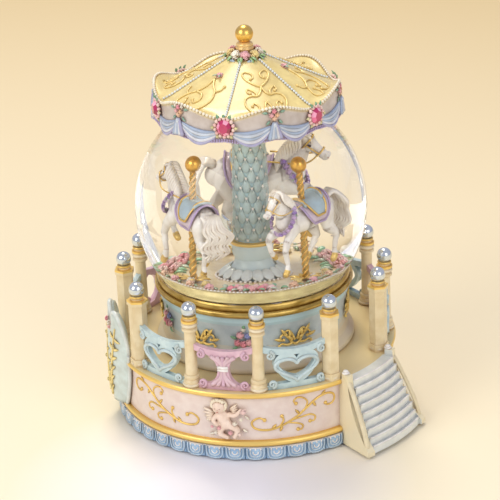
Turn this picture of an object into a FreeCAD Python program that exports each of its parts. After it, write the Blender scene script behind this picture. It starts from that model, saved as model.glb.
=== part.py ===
import FreeCAD, Part
import math
import os

import Sketcher
from FreeCAD import Placement, Rotation, Vector
from fcgear import fcgear, involute

# Carousel music box under a liquid-filled glass globe, on a fenced drum with a wind-up movement.
# Frame: origin on the floor under the globe axis, +Z up, front (the relief) towards -Y.
# Azimuth runs from the front (-Y) towards +X.

document = FreeCAD.newDocument("carousel_music_box")
sheet = document.addObject("Spreadsheet::Sheet", "sizes")
Z_AXIS = Vector(0, 0, 1)
X_AXIS = Vector(1, 0, 0)

# Driving dimensions in millimetres, degrees and counts
SIZES = {
    # Drum and foot
    "feet_height": 1.0,
    "drum_radius": 59.6,
    "drum_wall": 4.0,
    "deck_height": 31.3,
    "deck_thickness": 3.0,
    "foot_overhang": 1.7,
    "foot_height": 5.4,
    "foot_lobes": 44,
    "foot_lobe_depth": 0.5,
    "band_overhang": 1.3,
    "band_height": 2.4,
    # Bottom cover and key well
    "cover_thickness": 2.0,
    "cover_lip": 2.6,
    "well_radius": 20.0,
    "well_height": 11.4,
    "sheet_thickness": 1.6,
    "felt_radius": 52.0,
    "felt_width": 8.0,
    "screw_head_radius": 2.6,
    "screw_head_height": 1.0,
    "screw_circle": 36.0,
    # Fence
    "fence_inset": 3.9,
    "post_height": 31.9,
    "post_radius": 2.4,
    "post_plinth_radius": 3.6,
    "post_cap_radius": 3.5,
    "neck_radius": 2.5,
    "pearl_radius": 3.3,
    "panel_thickness": 2.4,
    "panel_height": 20.4,
    "rail_width": 2.6,
    "rail_sag": 2.6,
    "post_angle_1": 14.6,
    "post_angle_2": 46.8,
    "post_angle_3": 81.7,
    "post_angle_4": 103.0,
    "post_angle_5": 131.0,
    "post_angle_6": 163.0,
    # Staircase and side crest
    "stair_steps": 9,
    "stair_run": 1.45,
    "stair_angle": 25.0,
    "stair_wall_angle": 2.7,
    "stair_wall_rise": 2.6,
    "landing_depth": 3.4,
    "crest_depth": 5.5,
    "crest_width": 25.0,
    "crest_height": 50.0,
    # Pedestal, collar and globe
    "pedestal_radius": 40.4,
    "pedestal_wall": 3.4,
    "pedestal_height": 25.7,
    "pedestal_plinth": 2.6,
    "pedestal_step": 0.4,
    "pedestal_step_height": 5.0,
    "pedestal_waist": 0.6,
    "pedestal_waist_height": 12.0,
    "pedestal_waist_curve": 14.0,
    "pedestal_flare": 1.2,
    "pedestal_flare_curve": 26.0,
    "collar_height": 5.6,
    "collar_overhang": 1.6,
    "collar_lip": 0.6,
    "collar_lip_depth": 0.9,
    "globe_radius": 50.0,
    "glass_wall": 1.6,
    "globe_neck_radius": 40.3,
    "socket_depth": 3.0,
    "fit": 0.1,
    # Canopy
    "canopy_overlap": 8.5,
    "canopy_corner_radius": 37.6,
    "canopy_side_radius": 39.2,
    "canopy_side_lift": 3.2,
    "valance_height": 10.6,
    "valance_wall": 3.0,
    "roof_rise": 14.0,
    "roof_top_radius": 6.4,
    "swag_depth": 1.3,
    "gem_radius": 3.4,
    "gem_height": 1.9,
    "gem_stand_off": 1.6,
    "finial_ball_radius": 3.2,
    "finial_neck_radius": 2.0,
    "finial_height": 10.6,
    # Carousel
    "deck_gap": 1.0,
    "stage_radius": 33.0,
    "stage_thickness": 2.6,
    "hub_radius": 6.0,
    "hub_height": 2.0,
    "column_radius": 5.7,
    "column_foot_radius": 9.4,
    "column_foot_height": 12.0,
    "column_height": 58.0,
    "pole_circle": 22.0,
    "pole_radius": 1.1,
    "pole_height": 43.5,
    "pole_ball_radius": 2.3,
    "horse_height": 33.5,
    "horse_lift": 3.2,
    "horse_angle_1": 68.0,
    "horse_angle_2": -52.0,
    "horse_angle_3": 188.0,
    # Movement
    "shaft_radius": 1.5,
    "bush_radius": 4.0,
    "arbor_radius": 1.6,
    "bearing_gap": 0.06,
    "plate_thickness": 2.0,
    "barrel_radius": 13.4,
    "barrel_height": 9.6,
    "barrel_wall": 1.2,
    "barrel_boss_height": 4.0,
    "spring_turns": 7,
    "spring_thickness": 0.35,
    "crown_teeth": 36,
    "crown_circle": 12.2,
    "crown_face": 2.0,
    "pinion_teeth": 12,
    "cylinder_radius": 6.5,
    "cylinder_length": 15.0,
    "pin_height": 0.5,
    "pin_tracks": 18,
    "pins_per_track": 3,
    "comb_gap": 0.2,
    "comb_length": 9.4,
    "comb_thickness": 0.8,
    "governor_wheel_teeth": 40,
    "governor_pinion_teeth": 10,
    "governor_module": 0.5,
    "governor_tilt": 35.0,
    "spindle_radius": 0.8,
    "bracket_thickness": 1.2,
    "fan_radius": 4.2,
    "key_lobe_radius": 4.6,
    "key_thickness": 2.2,
    "key_sleeve_radius": 2.8,
}

for row, (alias, value) in enumerate(SIZES.items(), start=1):
    sheet.set("A%d" % row, alias)
    sheet.set("B%d" % row, str(value))
    sheet.setAlias("B%d" % row, alias)
document.recompute()


class Dim:
    """A size with its value now and the sheet formula that drives it."""

    def __init__(self, value, formula):
        self.value = value
        self.formula = formula

    def joined(self, other, sign, value):
        return Dim(value, "(%s %s %s)" % (self.formula, sign, other.formula))

    def __add__(self, other):
        other = dim(other)
        return self.joined(other, "+", self.value + other.value)

    def __sub__(self, other):
        other = dim(other)
        return self.joined(other, "-", self.value - other.value)

    def __mul__(self, other):
        other = dim(other)
        return self.joined(other, "*", self.value * other.value)

    def __truediv__(self, other):
        other = dim(other)
        return self.joined(other, "/", self.value / other.value)

    def __float__(self):
        return float(self.value)


def dim(number):
    return number if isinstance(number, Dim) else Dim(float(number), repr(float(number)))


def size(alias):
    return Dim(float(sheet.get(alias)), "sizes.%s" % alias)


def leg(hypotenuse, side):
    """The other short side of a right triangle."""
    value = math.sqrt(float(hypotenuse) ** 2 - float(side) ** 2)
    return Dim(value, "sqrt(%s ^ 2 - %s ^ 2)" % (hypotenuse.formula, side.formula))


def count(alias):
    return int(sheet.get(alias))


sub_parts = []


def keep(item, label):
    item.Label = label
    sub_parts.append(item)
    return item


def feature(label, shape, placement=None):
    """A sub-part whose shape is built with Part functions from the sheet's sizes."""
    item = document.addObject("Part::Feature", label)
    item.Shape = shape
    if placement:
        item.Placement = placement
    return keep(item, label)


def around(angle, radius=0.0, height=0.0):
    """The placement of something modelled at the front, moved out and turned to its azimuth."""
    turn = Rotation(Z_AXIS, float(angle))
    return Placement(turn.multVec(Vector(0, -float(radius), float(height))), turn)


def origin_plane(body, role):
    return next(plane for plane in body.Origin.OriginFeatures if plane.Role == role)


def pin_point(sketch, geometry, position, point):
    """Fix a sketch point at its two driven coordinates."""
    for kind, coordinate in zip(("DistanceX", "DistanceY"), point):
        coordinate = dim(coordinate)
        index = sketch.addConstraint(Sketcher.Constraint(kind, geometry, position, coordinate.value))
        if "sizes" in coordinate.formula:
            sketch.setExpression("Constraints[%d]" % index, coordinate.formula)


def arc_between(start, end, radius, turn):
    """The shorter arc from start to end; turn is 1 for anticlockwise and -1 for clockwise."""
    chord = end - start
    half = chord.Length / 2
    height = math.sqrt(max(radius * radius - half * half, 0.0))
    side = Vector(-chord.y, chord.x, 0).normalize() * (height * turn)
    centre = (start + end) / 2 + side
    circle = Part.Circle(centre, Z_AXIS, radius)
    first, second = (start, end) if turn > 0 else (end, start)
    return Part.ArcOfCircle(circle, circle.parameter(first), circle.parameter(second))


def profile_sketch(body, name, outline):
    """A closed profile on the XZ plane: points (r, z), or (r, z, arc radius, turn) reached by an arc."""
    sketch = body.newObject("Sketcher::SketchObject", name)
    sketch.AttachmentSupport = (origin_plane(body, "XZ_Plane"), [""])
    sketch.MapMode = "FlatFace"
    spots = [Vector(float(dim(p[0])), float(dim(p[1])), 0) for p in outline]
    for index, point in enumerate(outline):
        start = spots[index - 1]
        end = spots[index]
        first, last = 1, 2
        if len(point) == 4:
            radius = dim(point[2])
            sketch.addGeometry(arc_between(start, end, radius.value, point[3]))
            limit = sketch.addConstraint(Sketcher.Constraint("Radius", index, radius.value))
            sketch.setExpression("Constraints[%d]" % limit, radius.formula)
            if point[3] < 0:
                first, last = 2, 1
        else:
            sketch.addGeometry(Part.LineSegment(start, end))
        pin_point(sketch, index, first, outline[index - 1][:2])
        pin_point(sketch, index, last, point[:2])
    return sketch


def turned_body(label, outline, angle=360.0):
    """A body turned about Z from a closed profile."""
    body = document.addObject("PartDesign::Body", label)
    sketch = profile_sketch(body, label + "_profile", outline)
    turn = body.newObject("PartDesign::Revolution", label + "_turn")
    turn.Profile = sketch
    turn.ReferenceAxis = (sketch, ["V_Axis"])
    turn.Angle = float(angle)
    if isinstance(angle, Dim):
        turn.setExpression("Angle", angle.formula)
    turn.Midplane = float(angle) < 360
    return body


def primitive(kind, name, **values):
    """A Part primitive with each property bound to its size."""
    item = document.addObject(kind, name)
    for key, value in values.items():
        value = dim(value)
        setattr(item, key, value.value)
        if "sizes" in value.formula:
            item.setExpression(key, value.formula)
    return item


def fused(name, items):
    union = document.addObject("Part::MultiFuse", name)
    union.Shapes = items
    return union


def cut(name, base, tool):
    item = document.addObject("Part::Cut", name)
    item.Base = base
    item.Tool = tool
    return item


def front_face(points):
    """A face in the XZ plane inside a closed smooth curve through the points."""
    curve = Part.BSplineCurve()
    curve.interpolate([Vector(x, 0, z) for x, z in points], PeriodicFlag=True)
    return Part.Face(Part.Wire([curve.toShape()]))


def front_arc(start, middle, end):
    """An arc in the XZ plane through three points (x, z)."""
    return Part.Arc(*[Vector(x, 0, z) for x, z in (start, middle, end)])


def band(start, middle, end, width):
    """A bar of constant width in the XZ plane along an arc through three points."""
    line = [Vector(x, 0, z) for x, z in (start, middle, end)]
    circle = Part.Circle(*line)
    sides = []
    for offset in (-width / 2, width / 2):
        sides.append([spot + (spot - circle.Center).normalize() * offset for spot in line])
    edges = [Part.Arc(*side).toShape() for side in sides]
    edges += [Part.makeLine(sides[0][end], sides[1][end]) for end in (0, 2)]
    return Part.Face(Part.Wire(Part.sortEdges(edges)[0]))


def tube(inner, outer, bottom, height):
    ring = Part.makeCylinder(outer, height, Vector(0, 0, bottom))
    return ring.cut(Part.makeCylinder(inner, height, Vector(0, 0, bottom)))


def placed(shape, placement):
    moved = shape.copy()
    moved.Placement = placement.multiply(moved.Placement)
    return moved


# Base drum: a hollow casting with a lower bead, an upper lip and an open bottom.
feet = size("feet_height")
deck = size("deck_height")
drum_radius = size("drum_radius")
bead = size("band_height") / 2
bead_curve = bead * 1.2
band_radius = drum_radius + size("band_overhang")
foot_top = feet + size("foot_height")
drum_inside = drum_radius - size("drum_wall")
cover_top = feet + 1.0 + size("cover_thickness")
cover_radius = drum_inside + size("cover_lip")
pedestal_inside = size("pedestal_radius") - size("pedestal_wall")
lip_bottom = deck - size("band_height")
base_drum = keep(turned_body("base_drum", [
    (cover_radius, feet),
    (drum_radius, feet),
    (drum_radius, foot_top),
    (band_radius, foot_top),
    (band_radius, foot_top + bead * 2, bead_curve, 1),
    (drum_radius, foot_top + bead * 2),
    (drum_radius, lip_bottom),
    (band_radius, lip_bottom),
    (band_radius, deck, bead_curve, 1),
    (pedestal_inside, deck),
    (pedestal_inside, deck - size("deck_thickness")),
    (drum_inside, deck - size("deck_thickness")),
    (drum_inside, cover_top),
    (cover_radius, cover_top),
]), "base_drum")

# Foot moulding: a ring of convex lobes glued round the bottom of the drum.
lobes = count("foot_lobes")
valley = float(drum_radius + size("foot_overhang"))
crest = valley + float(size("foot_lobe_depth"))


def polar(radius, degrees, height=0.0):
    angle = math.radians(degrees)
    return Vector(radius * math.sin(angle), -radius * math.cos(angle), height)


lobe_edges = []
for lobe in range(lobes):
    turn_from, turn_mid, turn_to = [360.0 * (lobe + part) / lobes for part in (0, 0.5, 1)]
    lobe_edges.append(Part.Arc(polar(valley, turn_from, float(feet)), polar(crest, turn_mid, float(feet)),
                               polar(valley, turn_to, float(feet))).toShape())
lobed_disc = Part.Face(Part.Wire(lobe_edges)).extrude(Z_AXIS * float(size("foot_height")))
drum_core = Part.makeCylinder(float(drum_radius), float(deck))
foot_moulding = feature("foot_moulding", lobed_disc.cut(drum_core))

# Bottom cover with the well that holds the key, its felt ring and screws.
cover_bottom = cover_top - size("cover_thickness")
well_radius = size("well_radius")
skin = size("sheet_thickness")
well_top = cover_bottom + size("well_height")
key_hole = size("key_sleeve_radius") + 0.4
bottom_cover = keep(turned_body("bottom_cover", [
    (well_radius, cover_bottom),
    (cover_radius - size("fit"), cover_bottom),
    (cover_radius - size("fit"), cover_top),
    (well_radius + skin, cover_top),
    (well_radius + skin, well_top + skin),
    (key_hole, well_top + skin),
    (key_hole, well_top),
    (well_radius, well_top),
]), "bottom_cover")

felt_outer = size("felt_radius")
felt_blank = primitive("Part::Cylinder", "felt_blank", Radius=felt_outer, Height=cover_bottom)
felt_hole = primitive("Part::Cylinder", "felt_hole",
                      Radius=felt_outer - size("felt_width"), Height=cover_bottom)
keep(cut("felt_solid", felt_blank, felt_hole), "felt_ring")
head_bottom = float(cover_bottom - size("screw_head_height"))
heads = [Part.makeCylinder(float(size("screw_head_radius")), float(size("screw_head_height")),
                           polar(float(size("screw_circle")), turn, head_bottom)) for turn in (0, 120, 240)]
feature("cover_screws", Part.makeCompound(heads))

# Fence posts: turned round posts, and hexagonal ones beside the two openings.
post_height = size("post_height")
post_radius = size("post_radius")
plinth = size("post_plinth_radius")
cap = size("post_cap_radius")
post_neck = size("neck_radius")
round_post = turned_body("round_post_pattern", [
    (0, 0),
    (plinth, 0),
    (plinth, 2.4),
    (post_radius + 0.5, 3.4),
    (post_radius + 0.9, 4.4, 0.8, 1),
    (post_radius + 0.2, 5.4, 0.8, 1),
    (post_radius, post_height - 7.0),
    (post_radius + 0.9, post_height - 6.4),
    (post_radius + 0.9, post_height - 5.6),
    (post_radius + 0.2, post_height - 5.0),
    (cap, post_height - 2.6, 3.0, -1),
    (cap, post_height - 1.7),
    (post_neck, post_height - 1.7),
    (post_neck, post_height),
    (0, post_height),
])
hex_parts = [
    primitive("Part::Prism", "hex_plinth", Circumradius=plinth + 0.8, Height=3.0),
    primitive("Part::Prism", "hex_shaft", Circumradius=post_radius + 1.5, Height=post_height - 1.7),
    primitive("Part::Prism", "hex_cap", Circumradius=cap + 1.0, Height=2.2),
    primitive("Part::Cylinder", "hex_neck", Radius=post_neck, Height=post_height),
]
hex_parts[2].Placement.Base.z = float(post_height) - 3.9
hex_post = fused("hex_post_pattern", hex_parts)
document.recompute()

fence_circle = band_radius - size("fence_inset")
post_angles = [float(size("post_angle_%d" % number)) for number in range(1, 7)]
ring_angles = sorted(post_angles + [-angle for angle in post_angles])
HEX_POSTS = (2, 3)
post_shapes = {}
for number, angle in enumerate(ring_angles, start=1):
    beside_opening = post_angles.index(abs(angle)) + 1 in HEX_POSTS
    pattern = hex_post if beside_opening else round_post
    post_shapes[angle] = pattern.Shape.copy()
    post = feature("fence_post_%02d" % number, post_shapes[angle], around(angle, fence_circle, deck))
    post_shapes[angle] = post.Shape

PEARL_CUT = 60.0
pearl_radius = size("pearl_radius")
pearl_seat = float(pearl_radius) * math.sin(math.radians(PEARL_CUT))
pearl = Part.makeSphere(float(pearl_radius), Vector(), Z_AXIS, -PEARL_CUT, 90, 360)
pearl_height = float(deck + post_height) + pearl_seat
pearls = [placed(pearl, around(angle, fence_circle, pearl_height)) for angle in ring_angles]
feature("fence_pearls", Part.makeCompound(pearls))


# Fence panels: a sagging top rail over a heart or a gathered bow, curved to the fence circle.
rail_width = float(size("rail_width"))
panel_height = float(size("panel_height"))
rail_sag = float(size("rail_sag"))


def rail(half, ends, middle):
    return band((-half, ends), (0, middle), (half, ends), rail_width)


def heart_face(half_width, tip, top):
    """A heart of four arcs between its tip and the tops of its lobes."""
    widest = tip + (top - tip) * 0.62
    cleft = tip + (top - tip) * 0.8
    edges = []
    for side in (-1, 1):
        flank = side * half_width
        edges.append(front_arc((0, tip), (flank * 0.66, tip + (widest - tip) * 0.44), (flank, widest)))
        edges.append(front_arc((flank, widest), (flank * 0.52, top), (0, cleft)))
    return Part.Face(Part.Wire(Part.sortEdges([edge.toShape() for edge in edges])[0]))


def heart_panel(half):
    top = panel_height - rail_sag - rail_width / 2
    wide = half * 0.62
    ring = heart_face(wide, rail_width * 0.6, top)
    opening = heart_face(wide - rail_width * 0.8, rail_width * 2.0, top - rail_width * 0.9)
    upper = rail(half, panel_height - rail_width / 2, top)
    return [ring.cut(opening), upper, rail(half, 0.2, rail_width * 0.55)]


def bow_panel(half):
    top = panel_height - rail_sag - rail_width / 2
    knot = panel_height * 0.5
    faces = [rail(half, panel_height - rail_width / 2, top), rail(half, 0.2, rail_width * 0.55)]
    for side in (-1, 1):
        faces.append(band((side * half * 0.72, top + 1), (side * rail_width * 0.5, knot),
                          (side * half * 0.8, 0.6), rail_width * 0.9))
    circle = Part.Circle(Vector(0, 0, knot), Vector(0, 1, 0), rail_width)
    faces.append(Part.Face(Part.Wire([circle.toShape()])))
    return faces


def curved_panel(faces, inner, outer, bottom, height):
    """Flat ornament pushed through a ring, so that it bends with the fence."""
    depth = outer * 0.4
    bars = [placed(face, Placement(Vector(0, -outer - 1, bottom), Rotation())).extrude(Vector(0, depth, 0))
            for face in faces]
    solid = bars[0].multiFuse(bars[1:]) if len(bars) > 1 else bars[0]
    return solid.common(tube(inner, outer, bottom, height))


PANELS = ("bow", "heart", "open", "heart", "bow", "heart", "bow")
half_panel = float(size("panel_thickness")) / 2
posts_half = [(-post_angles[0], post_angles[0])]
posts_half += list(zip(post_angles[:-1], post_angles[1:])) + [(post_angles[-1], 360 - post_angles[-1])]
panel_number = 0
for (start, end), ornament in zip(posts_half, PANELS):
    if ornament == "open":
        continue
    half_gap = math.radians(end - start) / 2
    half = float(fence_circle) * math.sin(half_gap)
    faces = heart_panel(half) if ornament == "heart" else bow_panel(half)
    blank = curved_panel(faces, float(fence_circle) - half_panel, float(fence_circle) + half_panel,
                         float(deck), panel_height + rail_width)
    paired = start > 0 and end < 180
    for side in ((1, -1) if paired else (1,)):
        middle = side * (start + end) / 2
        neighbours = [post_shapes[angle] for angle in ring_angles
                      if abs((angle - middle + 180) % 360 - 180) < math.degrees(half_gap) + 1]
        panel_number += 1
        solid = placed(blank, around(middle)).cut(neighbours)
        feature("%s_panel_%02d" % (ornament, panel_number), solid)

# Staircase: nine treads and two curved side walls, scribed to the drum.
steps = count("stair_steps")
run = size("stair_run")
landing = band_radius + size("landing_depth")
stair_outline = [(drum_radius - 1.0, feet), (landing + run * steps, feet)]
for step in range(steps):
    tread = feet + (deck - feet) * (step + 1) / steps
    nosing = landing + run * (steps - step)
    stair_outline.append((nosing, tread))
    stair_outline.append((nosing - run if step < steps - 1 else drum_radius - 1.0, tread))
treads = turned_body("stair_treads", stair_outline, size("stair_angle"))
wall_rise = size("stair_wall_rise")
toe = landing + run * (steps + 1)
wall_outline = [
    (drum_radius - 1.0, feet),
    (toe, feet),
    (toe, feet + 2.0),
    (landing + 1.0, deck + wall_rise, run * steps * 3.4, -1),
    (band_radius + 0.8, deck + wall_rise),
    (band_radius + 0.8, deck),
    (drum_radius - 1.0, deck),
]
wall_angle = size("stair_wall_angle")
STAIR_AZIMUTH = (post_angles[1] + post_angles[2]) / 2
stair_pieces = [treads]
treads.Placement = around(STAIR_AZIMUTH + 90.0 - 180.0)
for side in (-1, 1):
    wall = turned_body("stair_wall_left" if side < 0 else "stair_wall_right", wall_outline, wall_angle)
    swing = side * float(size("stair_angle") + wall_angle) / 2
    wall.Placement = around(STAIR_AZIMUTH - 90.0 + swing)
    stair_pieces.append(wall)
stair_blank = fused("stair_blank", stair_pieces)
scribe = fused("drum_envelope", [base_drum, foot_moulding])
stairs = keep(cut("staircase_solid", stair_blank, scribe), "staircase")
document.recompute()
stairs_shape = stairs.Shape
for angle, shape in post_shapes.items():
    overlap = stairs_shape.common(shape).Volume
    if overlap > 0.01:
        raise ValueError("the staircase runs into the post at %.1f degrees by %.3f mm3" % (angle, overlap))

# Side crest: a winged shield on the drum in the opening opposite the staircase.
crest_half = float(size("crest_width")) / 2
crest_tall = float(size("crest_height"))
CREST_SHAPE = [(0.0, 0.0), (0.38, 0.1), (0.72, 0.16), (0.92, 0.34), (0.6, 0.5), (0.78, 0.62),
               (1.0, 0.78), (0.86, 0.97), (0.52, 0.86), (0.2, 0.93)]
right_side = [(across * crest_half, up * crest_tall) for across, up in CREST_SHAPE]
left_side = [(-x, z) for x, z in reversed(right_side[1:])]
crest_bottom = float(foot_top + size("band_height"))
crest_outer = float(drum_radius + size("crest_depth"))
crest_blank = curved_panel([front_face(right_side + left_side)], float(fence_circle) + 0.5, crest_outer,
                           crest_bottom, crest_tall + 2)
crest_blank = placed(crest_blank, around(-STAIR_AZIMUTH))
feature("side_crest", crest_blank.cut([base_drum.Shape] + list(post_shapes.values())))

# Pedestal: the turned block that lifts the globe and houses the top of the movement.
pedestal_radius = size("pedestal_radius")
pedestal_top = deck + size("pedestal_height")
glass_wall = size("glass_wall")
neck_outer = size("globe_neck_radius")
neck_inner = neck_outer - glass_wall
shoulder = pedestal_top - size("socket_depth")
socket = neck_outer + size("fit")
plinth = size("pedestal_plinth")
flare_radius = pedestal_radius + size("pedestal_flare")
globe_pedestal = keep(turned_body("globe_pedestal", [
    (pedestal_inside, deck),
    (pedestal_radius + plinth, deck),
    (pedestal_radius + plinth, deck + plinth, plinth * 0.85, 1),
    (pedestal_radius + size("pedestal_step"), deck + size("pedestal_step_height")),
    (pedestal_radius - size("pedestal_waist"), deck + size("pedestal_waist_height"),
     size("pedestal_waist_curve"), -1),
    (flare_radius, pedestal_top - plinth, size("pedestal_flare_curve"), -1),
    (flare_radius, pedestal_top),
    (socket, pedestal_top),
    (socket, shoulder),
    (pedestal_inside, shoulder),
]), "globe_pedestal")

# Gilt collar: stepped ring that covers the joint between the glass and the pedestal.
collar_top = pedestal_top + size("collar_height")
collar_out = neck_outer + size("collar_overhang")
globe_collar = keep(turned_body("globe_collar", [
    (socket, pedestal_top),
    (collar_out + 0.6, pedestal_top),
    (collar_out + 0.6, pedestal_top + 2.6, 1.5, 1),
    (collar_out - 0.4, pedestal_top + 2.6),
    (collar_out - 0.4, collar_top, 2.2, 1),
    (socket + size("collar_lip"), collar_top),
    (socket, collar_top - size("collar_lip_depth")),
]), "globe_collar")

# Glass globe: a sphere with a short neck that stands in the pedestal's socket.
globe_radius = size("globe_radius")
neck_top = collar_top - 0.5
globe_centre = neck_top + leg(globe_radius, neck_outer)
inside_radius = globe_radius - glass_wall
globe_glass = keep(turned_body("globe_glass", [
    (neck_inner, shoulder),
    (neck_outer, shoulder),
    (neck_outer, neck_top),
    (globe_radius, globe_centre, globe_radius, 1),
    (0, globe_centre + globe_radius, globe_radius, 1),
    (0, globe_centre + inside_radius),
    (inside_radius, globe_centre, inside_radius, -1),
    (neck_inner, globe_centre - leg(inside_radius, neck_inner), inside_radius, -1),
]), "globe_glass")

# Rubber stopper and the bush that seals the drive shaft.
bush_radius = size("bush_radius")
stopper_top = neck_top - 0.6
bush_flange = 1.0
globe_stopper = keep(turned_body("globe_stopper", [
    (bush_radius, shoulder),
    (neck_inner - size("fit"), shoulder),
    (neck_inner - size("fit"), stopper_top - 1.0),
    (neck_inner - size("fit") - 1.0, stopper_top),
    (bush_radius, stopper_top),
]), "globe_stopper")
shaft_bore = size("shaft_radius") + size("bearing_gap")
keep(turned_body("shaft_seal", [
    (shaft_bore, shoulder - 2.0),
    (bush_radius, shoulder - 2.0),
    (bush_radius, stopper_top),
    (bush_radius + 2.0, stopper_top),
    (bush_radius + 2.0, stopper_top + bush_flange),
    (shaft_bore, stopper_top + bush_flange),
]), "shaft_seal")

# Canopy: a six-sided tent roof over a scalloped valance, hollowed to sit on the glass.
SIDES = 6
canopy_bottom = float(globe_centre + globe_radius - size("canopy_overlap"))
corner = float(size("canopy_corner_radius"))
side_radius = float(size("canopy_side_radius"))
valance = float(size("valance_height"))
side_lift = float(size("canopy_side_lift"))
roof_top = canopy_bottom + valance + float(size("roof_rise"))


def lobed_wire(corner_radius, middle_radius, corner_height, middle_height):
    """A closed ring of bowed sides, with its corners and side middles at their own heights."""
    edges = []
    for side in range(SIDES):
        start = side * 360.0 / SIDES
        middle = start + 180.0 / SIDES
        edges.append(Part.Arc(polar(corner_radius, start, corner_height),
                              polar(middle_radius, middle, middle_height),
                              polar(corner_radius, start + 360.0 / SIDES, corner_height)).toShape())
    return Part.Wire(edges)


eave = canopy_bottom + valance
roof_radius = float(size("roof_top_radius"))
skirt = Part.makeLoft([lobed_wire(corner + 0.6, side_radius + 0.6, canopy_bottom, canopy_bottom),
                       lobed_wire(corner, side_radius, eave, eave + side_lift)], False, True)
roof = Part.makeLoft([lobed_wire(corner, side_radius, eave, eave + side_lift),
                      lobed_wire(roof_radius, roof_radius + 0.6, roof_top, roof_top)], False, True)
floor = Part.Face(lobed_wire(corner + 0.6, side_radius + 0.6, canopy_bottom, canopy_bottom))
ceiling = Part.Face(lobed_wire(roof_radius, roof_radius + 0.6, roof_top, roof_top))
canopy_solid = Part.makeSolid(Part.makeShell(skirt.Faces + roof.Faces + [floor, ceiling]))
wall_inside = corner - float(size("valance_wall"))
hollow = Part.makeCylinder(wall_inside, 3.4, Vector(0, 0, canopy_bottom))
dome = Part.makeSphere(float(globe_radius), Vector(0, 0, float(globe_centre)))
swag = float(size("swag_depth"))
swag_width = corner * math.pi / SIDES
notch_radius = (swag_width * 0.3) ** 2 / (2 * swag) + swag / 2
notch_level = canopy_bottom - notch_radius + swag
notches = [Part.makeCylinder(notch_radius, corner * 0.5, polar(corner * 0.8, turn, notch_level),
                             polar(1, turn)) for turn in range(0, 360, 180 // SIDES)]
gem_radius = float(size("gem_radius"))
gem_face = corner + float(size("gem_stand_off"))
gem_level = canopy_bottom + valance * 0.72
BOSS_RIM, BOSS_ROOT = 0.7, 4.0
boss_length = gem_face - corner + BOSS_ROOT
boss_radius = gem_radius + BOSS_RIM
bosses = [Part.makeCylinder(boss_radius, boss_length,
                            polar(corner - BOSS_ROOT, turn, gem_level), polar(1, turn))
          for turn in range(0, 360, 360 // SIDES)]
canopy_solid = canopy_solid.cut([hollow, dome] + notches).multiFuse(bosses).removeSplitter()
feature("canopy", canopy_solid)
GEM_TABLE = 0.55
gem_height = float(size("gem_height"))
gems = [Part.makeCone(gem_radius, gem_radius * GEM_TABLE, gem_height, polar(gem_face, turn, gem_level),
                      polar(1, turn)) for turn in range(0, 360, 360 // SIDES)]
feature("canopy_gems", Part.makeCompound(gems))

# Finial: ringed neck under a ball.
ball = size("finial_ball_radius")
finial_neck = size("finial_neck_radius")
canopy_height = size("valance_height") + size("roof_rise")
finial_base = globe_centre + globe_radius - size("canopy_overlap") + canopy_height
ball_centre = finial_base + size("finial_height")
ball_foot = ball_centre - leg(ball, finial_neck)
keep(turned_body("canopy_finial", [
    (0, finial_base),
    (finial_neck + 2.2, finial_base),
    (finial_neck + 2.2, finial_base + 1.6, 1.0, 1),
    (finial_neck + 0.6, finial_base + 2.6),
    (finial_neck + 1.0, finial_base + 4.4, 1.0, 1),
    (finial_neck, ball_foot),
    (ball, ball_centre, ball, 1),
    (0, ball_centre + ball, ball, 1),
]), "canopy_finial")

# Carousel stage and its hub, above the bush inside the globe.
hub_bottom = stopper_top + bush_flange + size("deck_gap")
stage_bottom = hub_bottom + size("hub_height")
stage_top = stage_bottom + size("stage_thickness")
stage_radius = size("stage_radius")
hub_radius = size("hub_radius")
shaft_radius = size("shaft_radius")
keep(turned_body("carousel_stage", [
    (0, stage_top),
    (0, stage_top - 1.4),
    (shaft_radius, stage_top - 1.4),
    (shaft_radius, hub_bottom),
    (hub_radius, hub_bottom),
    (hub_radius, stage_bottom),
    (stage_radius - 1.0, stage_bottom),
    (stage_radius, stage_bottom + 1.0),
    (stage_radius, stage_top - 0.8),
    (stage_radius - 0.8, stage_top, 0.8, 1),
]), "carousel_stage")

# Carousel column: a vase-shaped foot, a gilt ring and a tapering shaft.
column_radius = size("column_radius")
column_foot = size("column_foot_radius")
foot_end = stage_top + size("column_foot_height")
column_top = stage_top + size("column_height")
keep(turned_body("carousel_column", [
    (0, stage_top),
    (column_foot, stage_top),
    (column_foot, stage_top + 1.4),
    (column_radius, stage_top + 6.0, 5.2, -1),
    (column_radius + 0.9, foot_end - 1.6, 8.0, 1),
    (column_radius + 1.2, foot_end - 1.0),
    (column_radius + 1.2, foot_end, 0.6, 1),
    (column_radius, foot_end),
    (column_radius - 0.5, column_top - 3.0),
    (column_radius + 0.8, column_top - 1.6),
    (column_radius + 0.8, column_top),
    (0, column_top),
]), "carousel_column")

# Poles: a rod and a ball on top, three to the stage.
pole_radius = float(size("pole_radius"))
pole_height = float(size("pole_height"))
pole_rod = primitive("Part::Cylinder", "pole_rod", Radius=size("pole_radius"), Height=size("pole_height"))
pole_ball = primitive("Part::Sphere", "pole_ball", Radius=size("pole_ball_radius"))
pole_ball.Placement.Base.z = pole_height
pole_pattern = fused("pole_pattern", [pole_rod, pole_ball])
document.recompute()

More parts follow.
